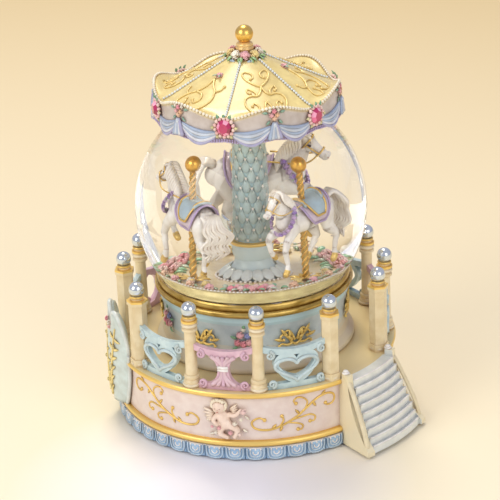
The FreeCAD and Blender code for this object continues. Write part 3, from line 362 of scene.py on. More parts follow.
vine = Mould()
starts = [(FIGURE_SIDE, 1), (-FIGURE_SIDE, -1)]
for k in range(5):
    starts.append((BACK_START + BACK_PITCH * k + (0 if k % 2 else STEM_SPAN), 1 if k % 2 else -1))
for start, way in starts:
    for line, thick in [(STEM, 0.54)] + [(twig, 0.43) for twig in TWIGS]:
        run = on_wall(smooth_path(line), start, way)
        swell = [thick * (0.75 + 0.25 * math.sin(math.pi * k / (len(run) - 1))) for k in range(len(run))]
        vine.tube(run, swell, GILT, 1.0)
        vine.knob(run[-1], 0.85, GILT, 1.0)
    vine.knob(on_wall([STEM[0]], start, way)[0], 0.9, GILT, 1.0)
    for s, z, ds, dz in STEM_LEAVES:
        root, tip = on_wall([(s, z), (s + ds, z + dz)], start, way)
        vine.leaf(root, tip - root, root * Vector((1, 1, 0)), 3.0, 1.3, GILT, 1.0)
vine.make("drum_scrolls", ornament_paint, "housing", "gilt")

# Front figure: a small winged child in low relief, cast in cream with flowers and fixed to the drum wall.
# The head and body are blended balls, the curls, wings and flowers are laid on.
def softened(name, shapes, rounds, voxel=0.0):
    holder = bpy.data.objects.new(name, shapes.mesh(name))
    bpy.context.scene.collection.objects.link(holder)
    if voxel:
        remesh = holder.modifiers.new("blend", "REMESH")
        remesh.mode = "VOXEL"
        remesh.voxel_size = voxel * MM
    soften = holder.modifiers.new("soften", "SMOOTH")
    soften.iterations = rounds
    bpy.context.view_layer.update()
    mesh = bpy.data.meshes.new_from_object(holder.evaluated_get(bpy.context.evaluated_depsgraph_get()))
    bpy.data.objects.remove(holder)
    points = np.empty(len(mesh.vertices) * 3)
    mesh.vertices.foreach_get("co", points)
    return points.reshape(-1, 3) / MM, [tuple(f.vertices) for f in mesh.polygons]


def relief(s, z, out=0.0):
    return polar(math.degrees(s / WALL), WALL + out, z)


SKIN, HAIR, FEATHER = srgb(248, 226, 208), srgb(250, 240, 214), srgb(250, 234, 214)
PINK, CREAM = srgb(250, 190, 196), srgb(250, 244, 226)
figure_paint = paint(
    "figure_paint", srgb(255, 255, 255), srgb(240, 234, 228), rough=0.34, hollow_shade=srgb(150, 104, 84), tint=True,
)
flesh = Mould()
flesh.ball(relief(-1.8, 24.6, 1.2), (2.9, 2.3, 3.0), SKIN)
flesh.ball(relief(-0.2, 19.6, 0.6), (2.9, 2.0, 3.6), SKIN)
flesh.ball(relief(0.8, 16.6, 0.7), (2.8, 2.0, 2.6), SKIN)
for limb, thick in (
    ([(2, 21.4, 0.8), (4.8, 21.2, 1.4), (7.2, 23.6, 1.3)], 1.15),
    ([(-2.4, 21, 0.8), (-4.4, 18.4, 1.4), (-2.6, 16.4, 1.9)], 1.1),
    ([(2.4, 16, 0.8), (5.6, 14.4, 1.4), (4.4, 11.2, 1.0)], 1.5),
    ([(-0.6, 15.2, 0.8), (-1.6, 12.6, 1.6), (1.2, 10.6, 1.0)], 1.4),
):
    run = smooth_path([relief(*p) for p in limb], 6)
    flesh.tube(run, [thick * (1.1 - 0.45 * k / len(run)) for k in range(len(run))], SKIN, sides=10)
    flesh.ball(run[-1], (thick * 0.75,) * 3, SKIN)
figure = Mould()
figure.add(*softened("figure_blend", flesh, 5, voxel=0.3), SKIN)
for k in range(26):
    turn, lift = k * 2.4, (k % 4) * 0.55
    figure.knob(relief(-1.8 + 2.9 * math.cos(turn), 25.5 + 2.5 * math.sin(turn), 1.0 + lift * 0.6), 0.85, HAIR)
for s in (-2.9, -1.1):
    figure.ball(relief(s, 24.6, 3.2), (0.42, 0.25, 0.16), srgb(176, 130, 110), segments=6, rings=4)
figure.ball(relief(-2.0, 23.8, 3.45), (0.35, 0.4, 0.4), SKIN, segments=6, rings=5)
figure.ball(relief(-2.0, 22.9, 3.1), (0.5, 0.25, 0.18), srgb(226, 150, 146), segments=6, rings=4)
for k in range(5):
    for root, tip, length, width in (
        (relief(-3.4 - 0.2 * k, 21.6 - 0.5 * k, 0.6), relief(-9.2, 23.4 - 2.0 * k, 0.8), 5.8 - 0.5 * k, 1.9),
        (relief(2.4 + 0.2 * k, 23.2 - 0.3 * k, 0.5), relief(6.8, 27.2 - 1.5 * k, 0.8), 4.6 - 0.5 * k, 1.6),
    ):
        figure.leaf(root, tip - root, polar(0, 1, 0), length, width, FEATHER)
for s, z, size, tint in (
    (8.4, 23.2, 1.5, srgb(246, 214, 206)), (-1.8, 15.2, 1.15, PINK), (-3.2, 13.0, 1.0, CREAM),
    (4.8, 17.6, 1.2, CREAM), (6.6, 12.6, 1.1, srgb(248, 226, 214)), (2.8, 13.2, 1.1, PINK),
    (7.4, 19.6, 1.0, CREAM), (-4.8, 15.6, 0.8, PINK),
):
    figure.rose(relief(s, z, 1.9), polar(math.degrees(s / WALL), 1, 0), size, tint)
for s, z, ds, dz in ((-4, 12, -3, -1), (7.6, 14.4, 2.5, -1.5), (8.8, 20.8, 2, -2), (-5.2, 17.2, -2.4, 1.0)):
    figure.leaf(relief(s, z, 0.5), relief(s + ds, z + dz, 0.6) - relief(s, z, 0.5), polar(0, 1, 0), 2.8, 1.3, CREAM)
figure.make("front_figure", figure_paint, "housing", "cream_resin")

# Foot tiles: a shell in a rounded frame on each lobe of the foot, cast with it and picked out in pale blue.
# They stop at the stair.
WHITE, GROOVE_BLUE = srgb(250, 249, 246), srgb(104, 142, 180)
TILES, TILE_FACE, STAIR_START, STAIR_END = 44, 61.75, 49, 79
tiles = Mould()
for i in range(TILES):
    spot = 360 / TILES * (i + 0.5)
    if STAIR_START < spot < STAIR_END:
        continue
    side = 360 / TILES / 2
    for wide, low, high, thick, tint in (
        (0.8, 1.0, 6.2, 0.42, srgb(190, 214, 232)),
        (0.5, 2.0, 5.0, 0.34, srgb(206, 224, 236)),
        (0.24, 3.0, 4.6, 0.3, WHITE),
    ):
        frame_line = [(-wide, high), (-wide, (low + high) / 2), (-wide * 0.75, low + 0.5), (0, low)]
        frame_line += [(-x, z) for x, z in frame_line[-2::-1]]
        run = [polar(spot + side * p.x, TILE_FACE, p.y) for p in smooth_path(frame_line, 3)]
        tiles.tube(run, thick, tint, sides=5)
    for lean in (-0.5, 0.0, 0.5):
        tiles.ball(polar(spot + side * lean, TILE_FACE + 0.05, 5.6), (0.42, 0.42, 0.5), WHITE, segments=6, rings=5)
    groove = polar(360 / TILES * i, TILE_FACE - 0.75, 3.6)
    tiles.tube([groove - Vector((0, 0, 2.5)), groove + Vector((0, 0, 2.6))], 0.5, GROOVE_BLUE, sides=5)
tiles.make("foot_tiles", ornament_paint, "housing", "blue_resin")

# Fence: ivory posts with gilt necks, each with a silver-blue pearl, and blue and pink panels between.
# Posts and panels stand in the deck and the pearls are pinned to the post caps.
ivory_paint = paint(
    "ivory_post_paint", srgb(236, 220, 182), srgb(224, 204, 160), hollow_shade=srgb(205, 165, 105),
    zones=(([("z", 60.6, 61.6)], GILT, True),),
)
pink_paint = paint("pink_panel_paint", srgb(228, 194, 206), srgb(214, 176, 192), hollow_shade=srgb(190, 150, 160))
sky_paint = paint("blue_panel_paint", srgb(206, 226, 228), srgb(184, 208, 214), hollow_shade=srgb(140, 165, 180))
pearl_paint = paint("pearl_coat", srgb(224, 230, 234), srgb(206, 216, 222), rough=0.14, metal=0.75, bump=0.0)
finish_node("fence_pearls", pearl_paint)
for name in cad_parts:
    if name.startswith("fence_post"):
        finish_node(name, ivory_paint)
    elif name.startswith("bow_panel"):
        finish_node(name, pink_paint)
    elif name.startswith("heart_panel"):
        finish_node(name, sky_paint)
FENCE_CIRCLE, ROUND_POSTS, HEX_POSTS = 57.0, (14.6, 103.0, 131.0, 163.0), (46.8, 81.7)
POST_WHITE = srgb(240, 228, 198)
CAP_RING = (2.75, 59.3, 0.8, POST_WHITE, 0.0)
SEAT_RING = (2.6, 63.0, 0.5, GILT, 0.8)
FOOT_RING = (3.3, 32.2, 0.8, POST_WHITE, 0.0)
post_rings = Mould()
for angles, bands in ((ROUND_POSTS, (CAP_RING, SEAT_RING, FOOT_RING)), (HEX_POSTS, (SEAT_RING, FOOT_RING))):
    for angle in angles + tuple(-a for a in angles):
        for reach, level, thick, tint, gilt in bands:
            ring = [
                polar(angle, FENCE_CIRCLE, level) + Vector((reach * math.cos(t), reach * math.sin(t), 0))
                for t in np.linspace(0, 2 * math.pi, 25)
            ]
            post_rings.tube(ring, thick, tint, gilt, sides=8, facing=(0, 0, 1))
post_rings.make("post_rings", ornament_paint, "housing", "ivory_resin")

# Panel carving: volutes at the rail ends and feet, cast with the panels and painted a shade lighter.
# The pink panels have the folds and knot of a gathered bow, the blue ones a raised edge round the heart.
PANEL_FACE, RAIL_LEVEL, FOOT_LEVEL, KNOT_LEVEL, HEART_LEVEL = 58.2, 47.0, 33.8, 41.2, 40.4
BOW_PINK, FOLD_PINK, HEART_BLUE = srgb(220, 184, 204), srgb(230, 200, 212), srgb(204, 224, 228)
carving = Mould()


def taper(path, thick, thin):
    return [thick + (thin - thick) * k / (len(path) - 1) for k in range(len(path))]


def volute(middle, level, start, sweep, tint):
    path = []
    for t in np.linspace(0, 1, 22):
        reach = 2.0 - 1.5 * t ** 0.8
        turn = math.radians(start + sweep * t)
        spot = middle + math.degrees(reach * math.cos(turn) / PANEL_FACE)
        path.append(polar(spot, PANEL_FACE, level + reach * math.sin(turn)))
    carving.tube(path, taper(path, 0.75, 0.45), tint, sides=7)
    carving.knob(path[-1], 0.65, tint)


for middle, half, kind in (
    (0, 14.6, "bow"), (-30.7, 16.1, "heart"), (30.7, 16.1, "heart"), (-92.35, 10.65, "heart"),
    (92.35, 10.65, "heart"), (-117, 14, "bow"), (117, 14, "bow"), (-147, 16, "heart"), (147, 16, "heart"),
    (180, 17, "bow"),
):
    tint = BOW_PINK if kind == "bow" else HEART_BLUE
    for way in (-1, 1):
        volute(middle + way * (half - 5.0), RAIL_LEVEL, 90, way * 470, tint)
        volute(middle + way * (half - 5.6), FOOT_LEVEL, -90, -way * 470, tint)
    if kind == "bow":
        for lean in (-1.6, -0.8, 0.0, 0.8, 1.6):
            for end in (46.6, 33.2):
                fold = [(lean * 0.35, KNOT_LEVEL), (lean * 0.8, (KNOT_LEVEL + end) / 2), (lean * 3.2, end)]
                run = [
                    polar(middle + math.degrees(p.x / PANEL_FACE), PANEL_FACE - 0.1, p.y)
                    for p in smooth_path(fold)
                ]
                carving.tube(run, [0.55 + 0.05 * k for k in range(len(run))], FOLD_PINK if lean else tint, sides=7)
        for level in (KNOT_LEVEL - 0.6, KNOT_LEVEL + 0.6):
            band = [polar(middle + a, PANEL_FACE + 0.35 - 0.1 * abs(a), level) for a in (-2.2, -1.1, 0, 1.1, 2.2)]
            carving.tube(band, 0.7, WHITE, sides=7)
    else:
        lobe = []
        for t in np.linspace(0, 2 * math.pi, 41):
            across = math.radians(half) * PANEL_FACE * 0.036 * 16 * math.sin(t) ** 3
            up = 13 * math.cos(t) - 5 * math.cos(2 * t) - 2 * math.cos(3 * t) - math.cos(4 * t)
            lobe.append(polar(middle + math.degrees(across / PANEL_FACE), PANEL_FACE, HEART_LEVEL + up * 0.36))
        carving.tube(lobe, 0.8, tint, sides=8)
carving.make("panel_carving", ornament_paint, "housing", "pink_resin")

# Stair: a cast flight of nine grey-blue treads with white nosings between cream cheek walls.
# It is glued to the drum and the deck; each cheek has a rounded coping and a white block at its head.
CREAM_WALL = srgb(238, 226, 190)
stair_paint = paint(
    "stair_paint", srgb(240, 242, 234), srgb(228, 232, 226), hollow_shade=srgb(170, 175, 185),
    zones=(([("a", 45.0, 51.7)], CREAM_WALL, False), ([("a", 76.8, 84.0)], CREAM_WALL, False)),
)
finish_node("staircase", stair_paint)
STAIR_MIDDLE, STEPS, LANDING, RUN, STAIR_FOOT, DECK = 64.25, 9, 64.3, 1.45, 1.0, 31.3
COPING = [(62.4, 33.6), (66.0, 29.0), (70.4, 20.6), (74.6, 11.4), (77.0, 3.2)]
nosings = Mould()
for k in range(STEPS):
    edge = [
        polar(STAIR_MIDDLE + a, LANDING + RUN * (STEPS - k) - 0.1, STAIR_FOOT + (DECK - STAIR_FOOT) * (k + 1) / STEPS)
        for a in np.linspace(-12.2, 12.2, 16)
    ]
    nosings.tube(edge, 0.42, WHITE, sides=6)
for a in (-13.9, 13.9):
    block = polar(STAIR_MIDDLE + a, 62.6, 34.2)
    basis = Matrix.Rotation(math.radians(STAIR_MIDDLE + a), 3, "Z")
    for lift, radii in ((0, (1.7, 1.7, 0.7)), (0.8, (1.2, 1.2, 0.6))):
        nosings.ball(block + Vector((0, 0, lift)), radii, WHITE, turn=basis, segments=12, rings=6)
for a in (-14.2, 14.2):
    run = [polar(STAIR_MIDDLE + a, p.x, p.y) for p in smooth_path(COPING, 4)]
    nosings.tube(run, 1.25, CREAM_WALL, sides=10, flat=0.6, facing=polar(STAIR_MIDDLE + a, 0.9, 0.45))
nosings.make("stair_nosings", ornament_paint, "housing", "stair_resin")

# Side crest: a pale blue cast shield of two rounded wings with gilt sprigs and roses.
# It is glued to the drum wall opposite the stair.
CREST, CREST_FOOT, CREST_HALF, CREST_ROWS, CREST_STEPS = -64.25, 8.8, 13.4, 22, 36


def crest_face(across, up, inside=0.0):
    wing_top = 43.0 + 8.6 * abs(math.sin(math.pi * min(1.0, abs(across)) ** 0.9)) - 9.0 * abs(across) ** 6
    width = CREST_HALF * (0.62 + 0.38 * math.sin(math.pi / 2 * min(1.0, up * 1.35)))
    swell = 5.0 * (1 - abs(across) ** 2.6) * (0.55 + 0.45 * math.sin(math.pi * min(1.0, 0.25 + up * 0.6)))
    furrow = 1.3 * math.exp(-(across / 0.16) ** 2)
    reach = max(60.3, 60.9 + swell - furrow - inside)
    return polar(CREST + width * across, reach, CREST_FOOT + (wing_top - CREST_FOOT) * up)


def sheet_faces(rows, steps):
    wide, total = steps + 1, (rows + 1) * (steps + 1)
    faces = []
    for k in (i * wide + j for i in range(rows) for j in range(steps)):
        faces.append((k, k + 1, k + wide + 1, k + wide))
        faces.append((total + k, total + k + wide, total + k + wide + 1, total + k + 1))
    rim = list(range(wide)) + [i * wide + steps for i in range(1, rows + 1)]
    rim += [rows * wide + j for j in range(steps - 1, -1, -1)] + [i * wide for i in range(rows - 1, 0, -1)]
    faces += [(b, a, total + a, total + b) for a, b in zip(rim, rim[1:] + rim[:1])]
    return faces, rim


CREST_BLUE, CREST_EDGE, CREST_GOLD = srgb(212, 228, 226), srgb(222, 232, 230), srgb(252, 232, 156)
DEEP_PINK = srgb(244, 154, 170)
across_steps = [-1 + 2 * j / CREST_STEPS for j in range(CREST_STEPS + 1)]
up_steps = [i / CREST_ROWS for i in range(CREST_ROWS + 1)]
outer = [crest_face(across, up) for up in up_steps for across in across_steps]
inner = [crest_face(across, up, 2.2) for up in up_steps for across in across_steps]
inner = [p - Vector((p.x, p.y, 0)).normalized() * 0.5 for p in inner]
wings = Mould()
wings.add(outer + inner, sheet_faces(CREST_ROWS, CREST_STEPS)[0], CREST_BLUE)
wings.tube([crest_face(across, 1.0, 0.8) for across in across_steps], 1.0, CREST_EDGE, sides=8)
for lean in (-1, 1):
    wings.tube([crest_face(lean, up, 0.2) for up in up_steps], 0.9, CREST_EDGE, sides=8)
wings.make("crest_wings", ornament_paint, "housing", "blue_resin", ("side_crest",))
sprigs = Mould()
for lean in (-1, 1):
    stem = [crest_face(lean * (0.22 + 0.36 * t), 0.06 + 0.8 * t, -0.2) for t in np.linspace(0, 1, 14)]
    sprigs.tube(stem, [0.7 - 0.025 * k for k in range(14)], CREST_GOLD, 0.2, sides=6)
    for k in range(1, 13, 2):
        t = k / 13
        for way in (-1, 1):
            tip = crest_face(lean * (0.22 + 0.36 * t) + way * 0.3, min(1.0, 0.16 + 0.8 * t), -0.5)
            sprigs.leaf(stem[k], tip - stem[k], polar(CREST + lean * 8, 1, 0), 4.2, 1.9, CREST_GOLD, 0.2)
        if k % 4 == 1:
            bud = crest_face(lean * (0.3 + 0.36 * t), 0.1 + 0.8 * t, -0.8)
            sprigs.rose(bud, polar(CREST + lean * 20, 1, 0), 1.1, srgb(250, 240, 170))
for across, up, size, tint in ((0.0, 1.0, 2.0, PINK), (-0.17, 0.93, 1.3, DEEP_PINK), (0.17, 0.93, 1.3, CREAM)):
    sprigs.rose(crest_face(across, up, -0.8), polar(CREST, 1, 0.2), size, tint)
sprigs.make("crest_sprigs", ornament_paint, "housing", "blue_resin")

# Pedestal and collar: a waisted grey-blue pearl ring under the globe and a stepped gilt ring that holds its neck.
# Rose sprays and gilt acanthus scrolls are cast on the pedestal by turns.
pedestal_paint = paint(
    "pedestal_paint", srgb(202, 214, 218), srgb(184, 200, 206), hollow_shade=srgb(140, 145, 140),
    zones=(
        ([("z", 53.0, 57.0)], srgb(186, 214, 220), False),
        # Painted shade: the three lowest bands, warm beige grading back to pearl grey by z 43, stand in for the
        # warm-lit shadow behind the fence.
        ([("z", 30.0, 39.0)], srgb(222, 208, 181), False),
        ([("z", 39.0, 41.0)], srgb(216, 210, 192), False),
        ([("z", 41.0, 43.0)], srgb(208, 212, 205), False),
    ),
)
finish_node("globe_pedestal", pedestal_paint)
gilt_paint = paint("gilt", srgb(200, 170, 92), srgb(178, 146, 68), rough=0.26, metal=0.6, hollow_shade=srgb(180, 140, 70))
finish_node("globe_collar", gilt_paint)
SPRAY_GOLD, SPRAY_GREEN = srgb(255, 222, 130), srgb(136, 190, 146)
SPRAYS, FIRST_SPRAY, TO_SCROLL, SPRAY_FACE = 6, 6.5, 32, 40.6
SPRAY_LEAVES = ((-3.6, 47, -4, 1), (3.8, 47, 4, 1), (-3, 43.4, -3.6, -1.4), (3, 43.4, 3.6, -1.4), (0, 51, 1, 3))
ACANTHUS = (
    [(0, 40), (3, 41.5), (6, 45), (9.6, 47.4), (12, 46), (11.6, 43.6), (9.6, 43.8)],
    [(1, 43), (3, 47), (5.6, 49.6), (8, 49), (7.6, 47.2)],
    [(3, 41), (7, 40.4), (11, 41.4), (13, 40)],
)
sprays = Mould()
for sector in range(SPRAYS):
    middle = FIRST_SPRAY + 360 / SPRAYS * sector
    facing = polar(middle, 1, 0)
    for a, z, size, tint in (
        (-3.4, 45.0, 1.7, DEEP_PINK), (0.2, 44.4, 1.8, DEEP_PINK), (3.6, 45.2, 1.7, PINK),
        (-1.8, 48.6, 1.8, PINK), (2.6, 48.3, 1.6, srgb(150, 160, 216)), (0.2, 51.2, 1.2, CREAM),
    ):
        sprays.rose(polar(middle + a, SPRAY_FACE, z), facing, size, tint)
    for a, z, da, dz in SPRAY_LEAVES:
        root, tip = polar(middle + a, SPRAY_FACE, z), polar(middle + a + da, SPRAY_FACE + 0.3, z + dz)
        sprays.leaf(root, tip - root, facing, 3.2, 1.5, SPRAY_GREEN)
    middle += TO_SCROLL
    for way in (-1, 1):
        for line in ACANTHUS:
            run = [
                polar(middle + way * p.x * 0.8, SPRAY_FACE + 0.1, 45.5 + (p.y - 44.5) * 0.7)
                for p in smooth_path(line)
            ]
            sprays.tube(run, taper(run, 0.62, 0.32), SPRAY_GOLD, 0.5, sides=7)
            sprays.knob(run[-1], 0.7, SPRAY_GOLD, 0.5)
        for a, z, da, dz in ((1.5, 44, 4, 3), (6, 47, 3, 3), (3.5, 45.5, 1, 5), (8, 45, 5, 1)):
            root = polar(middle + way * a, SPRAY_FACE, z)
            tip = polar(middle + way * (a + da), SPRAY_FACE + 0.6, z + dz)
            sprays.leaf(root, tip - root, polar(middle, 1, 0), 4.2, 1.7, SPRAY_GOLD, 0.5)
sprays.make("pedestal_sprays", ornament_paint, "housing", "pedestal_resin")

# Globe: a clear blown glass ball filled with liquid, closed by a rubber stopper.
# The inner wall bends light as glass against liquid, the outer wall as glass against air.
GLOBE_LEVEL, WALL_CENTRE = 91.7 * MM, 49.2 * MM
LIQUID_TO_GLASS, AIR_TO_GLASS = 1.128, 1.5


def clear_wall(tree, index):
    wall = node(tree, "ShaderNodeBsdfPrincipled")
    wall.inputs["Base Color"].default_value = (1.0, 1.0, 1.0, 1.0)
    wall.inputs["Transmission Weight"].default_value = 1.0
    wall.inputs["Roughness"].default_value = 0.0
    wall.inputs["IOR"].default_value = index
    return wall.outputs[0]


glass = bpy.data.materials.new("globe_glass_and_liquid")
glass.use_nodes = True
tree = glass.node_tree
tree.nodes.clear()
place = node(tree, "ShaderNodeTexCoord").outputs["Object"]
away = node(tree, "ShaderNodeVectorMath", operation="DISTANCE")
tree.links.new(place, away.inputs[0])
away.inputs[1].default_value = (0, 0, GLOBE_LEVEL)
outside = sums(tree, "GREATER_THAN", away.outputs["Value"], WALL_CENTRE)
walls = node(tree, "ShaderNodeMixShader")
tree.links.new(outside, walls.inputs[0])
tree.links.new(clear_wall(tree, LIQUID_TO_GLASS), walls.inputs[1])
tree.links.new(clear_wall(tree, AIR_TO_GLASS), walls.inputs[2])
path = node(tree, "ShaderNodeLightPath")
through = sums(tree, "MAXIMUM", path.outputs["Is Shadow Ray"], path.outputs["Is Diffuse Ray"])
whole = node(tree, "ShaderNodeMixShader")
tree.links.new(through, whole.inputs[0])
tree.links.new(walls.outputs[0], whole.inputs[1])
tree.links.new(node(tree, "ShaderNodeBsdfTransparent").outputs[0], whole.inputs[2])
tree.links.new(whole.outputs[0], node(tree, "ShaderNodeOutputMaterial").inputs[0])
finish_node("globe_glass", glass)
rubber = paint("stopper_rubber", srgb(226, 214, 186), srgb(214, 200, 170), rough=0.6)
finish_node("globe_stopper", rubber)
finish_node("shaft_seal", rubber)

# Carousel stage: a turned disc of cream resin pressed on the drive shaft, with a thin gilt skirt below its edge.
# Rows of pearls are cast on its edge and round the column foot; roses and leaves are glued on.
stage_paint = paint("stage_paint", srgb(250, 238, 206), srgb(240, 222, 178), hollow_shade=srgb(205, 170, 110))
finish_node("carousel_stage", stage_paint)
def copies_group(name):
    group = bpy.data.node_groups.new(name, "GeometryNodeTree")
    group.interface.new_socket("Geometry", in_out="OUTPUT", socket_type="NodeSocketGeometry")
    for label, kind in (("Path", "Geometry"), ("Shape", "Object"), ("Count", "Int"), ("Finish", "Material")):
        group.interface.new_socket(label, in_out="INPUT", socket_type="NodeSocket" + kind)
    start, end = group.nodes.new("NodeGroupInput"), group.nodes.new("NodeGroupOutput")
    along = group.nodes.new("GeometryNodeCurveToPoints")
    pick = group.nodes.new("GeometryNodeObjectInfo")
    lay = group.nodes.new("GeometryNodeInstanceOnPoints")
    real = group.nodes.new("GeometryNodeRealizeInstances")
    coat = group.nodes.new("GeometryNodeSetMaterial")
    for source, outlet, target, inlet in (
        (start, "Path", along, "Curve"), (start, "Count", along, "Count"), (start, "Shape", pick, "Object"),
        (along, "Points", lay, "Points"), (along, "Rotation", lay, "Rotation"), (pick, "Geometry", lay, "Instance"),
        (lay, "Instances", real, "Geometry"), (real, "Geometry", coat, "Geometry"),
        (start, "Finish", coat, "Material"), (coat, "Geometry", end, "Geometry"),
    ):
        group.links.new(source.outputs[outlet], target.inputs[inlet])
    return group


row_group = copies_group("copies_along_a_path")


def copy_row(name, path, shape, count, body, closed=True):
    curve = bpy.data.curves.new(name + "_path", "CURVE")
    curve.dimensions = "3D"
    spline = curve.splines.new("POLY")
    spline.points.add(len(path) - 1)
    for point, place in zip(spline.points, path):
        point.co = (*(c * MM for c in place), 1.0)
    spline.use_cyclic_u = closed
    holder = bpy.data.objects.new(name + "_path", curve)
    bpy.context.scene.collection.objects.link(holder)
    modifier = holder.modifiers.new("copies", "NODES")
    modifier.node_group = row_group
    values = {"Shape": shape, "Count": count, "Finish": ornament_paint}
    for item in row_group.interface.items_tree:
        if item.in_out == "INPUT" and item.name in values:
            modifier[item.identifier] = values[item.name]
    bpy.context.view_layer.update()
    made = holder.evaluated_get(bpy.context.evaluated_depsgraph_get())
    mesh = bpy.data.meshes.new_from_object(made)
    bpy.data.objects.remove(holder)
    mesh.name = name
    mesh.shade_smooth()
    fixed_piece(name, mesh, body)


def bead(name, radius, tint, gilt=0.0):
    mould = Mould()
    mould.ball((0, 0, 0), (radius,) * 3, tint, gilt, segments=8, rings=5)
    return bpy.data.objects.new(name, mould.mesh(name))


STAGE_TOP = 68.1
white_bead = bead("white_bead", 0.55, WHITE)
for label, radius, height, total in (
    ("stage_edge_pearls", 31.6, STAGE_TOP, 130), ("foot_pearls", 11.6, STAGE_TOP + 0.2, 44),
):
    ring = [polar(a, radius, height) for a in range(0, 360, 3)]
    copy_row(label, ring, white_bead, total, "carousel")


def turned_faces(rows, around):
    faces = []
    for row in range(rows):
        upper, lower = row * around, (row + 1) % rows * around
        for k in range(around):
            n = (k + 1) % around
            faces.append((upper + k, lower + k, lower + n, upper + n))
    return faces


SKIRT_TURNS = 120
SKIRT = [
    (32.6, 68.0), (33.8, 67.4), (33.6, 66.2), (35.2, 64.6), (37.0, 63.2), (36.8, 62.8), (34.6, 63.4), (32.6, 65.0),
]
# Painted reflection: the skirt's pale gold covers the shaded gap under the stage and stands in for the collar's gold
# seen reflected in the lower glass.
skirt = Mould()
ring = [polar(360 / SKIRT_TURNS * j, r, z) for r, z in SKIRT for j in range(SKIRT_TURNS)]
skirt.add(ring, turned_faces(len(SKIRT), SKIRT_TURNS), srgb(236, 222, 160), 0.3)
skirt.make("stage_skirt", ornament_paint, "carousel", "stage_resin")
YELLOW, PEACH, BLUSH = srgb(250, 226, 150), srgb(250, 206, 176), srgb(250, 214, 214)
POLE_ANGLES, POLE_CIRCLE = (68, -52, 188), 22.0
garden = Mould()
for k in range(3):
    middle = 12 + 120 * k
    for i in range(9):
        a, row = middle + (i - 4) * 3.9, i % 2
        tint = (DEEP_PINK, PINK, BLUSH)[i % 3]
        garden.rose(polar(a, 27.6 - 2.9 * row, STAGE_TOP + 0.6), polar(a, 0.8, 1), 2.0, tint)
    for i in range(12):
        a, way = middle + (i - 5.5) * 4.2, 1 if i % 2 else -1
        root = polar(a, 26 + 1.6 * way, STAGE_TOP + 0.3)
        tip = polar(a + 3 * (1 if i > 5 else -1), 26 + 5 * way, STAGE_TOP + 1.0)
        tint = srgb(150, 206, 166) if i % 3 else srgb(206, 226, 206)
        garden.leaf(root, tip - root, (0, 0, 1), 4.0, 2.1, tint)
    for i in range(7):
        a = middle + 60 + (i - 3) * 9
        tint = (PEACH, YELLOW, PINK, CREAM)[i % 4]
        garden.rose(polar(a, 28.4 - (i % 2) * 4, STAGE_TOP + 0.6), polar(a, 0.8, 1), 2.1, tint)
        root = polar(a + 3, 27, STAGE_TOP + 0.3)
        garden.leaf(root, polar(a + 8, 30, STAGE_TOP + 0.6) - root, (0, 0, 1), 3.6, 1.8, srgb(176, 206, 176))
    for i in range(8):
        pole = polar(POLE_ANGLES[k], POLE_CIRCLE, STAGE_TOP + 0.2)
        away = polar(45 * i, 1, 0.25)
        garden.leaf(pole + away * 1.0, away, (0, 0, 1), 5.0, 2.3, SPRAY_GOLD, 0.5)
garden.make("stage_garden", ornament_paint, "carousel", "stage_resin")

# Column: a turquoise cast resin column with a net of scales and pearl dots, fixed in the middle of the stage.
# Below its gilt ring is a pale vase foot with a ring of petals.
column_paint = paint(
    "column_paint", srgb(186, 212, 216), srgb(168, 200, 206), hollow_shade=srgb(110, 140, 150),
    zones=(([("z", 60.0, 78.9)], srgb(214, 234, 238), False), ([("z", 78.9, 80.3)], GILT, True)),
)
finish_node("carousel_column", column_paint)
ROWS, ROUND, NET_LOW, NET_HIGH, PETALS = 13, 9, 81.2, 125.4, 16
SCALE_EDGE, SCALE_BLUE, PETAL_BLUE = srgb(196, 218, 218), srgb(192, 216, 218), srgb(228, 240, 242)
net = Mould()
pitch = (NET_HIGH - NET_LOW) / (ROWS - 1)
for row in range(ROWS):
    level = NET_LOW + row * pitch
    reach = 5.75 - 0.5 * row / ROWS
    for k in range(ROUND):
        a = 360 / ROUND * (k + 0.5 * (row % 2))
        net.ball(polar(a, reach + 0.15, level), (0.52,) * 3, WHITE, segments=6, rings=5)
        if row < ROWS - 1:
            for way in (-1, 1):
                scale = [
                    polar(a + way * 180 / ROUND * t, reach + 0.05, level + pitch * (t ** 1.7))
                    for t in np.linspace(0, 1, 6)
                ]
                net.tube(scale, 0.3, SCALE_EDGE, sides=5)
            turn = Matrix.Rotation(math.radians(a + 180 / ROUND), 3, "Z")
            centre = polar(a + 180 / ROUND, reach - 0.25, level + (pitch * 0.1 if row else pitch * 0.3))
            net.ball(centre, (1.5, 0.85, 2.3 if row else 1.6), SCALE_BLUE, turn=turn, segments=10, rings=7)
for k in range(PETALS):
    a = 360 / PETALS * k
    fall = (polar(a, 10.8, 0.7) - polar(a, 7.4, 3.3)).normalized()
    across = Matrix.Rotation(math.radians(a), 3, "Z") @ Vector((1, 0, 0))
    lean = Matrix((across, fall.cross(across), fall)).transposed()
    net.ball(polar(a, 9.1, STAGE_TOP + 1.9), (2.1, 0.75, 2.6), PETAL_BLUE, turn=lean, segments=12, rings=8)
net.make("column_net", ornament_paint, "carousel", "column_resin")

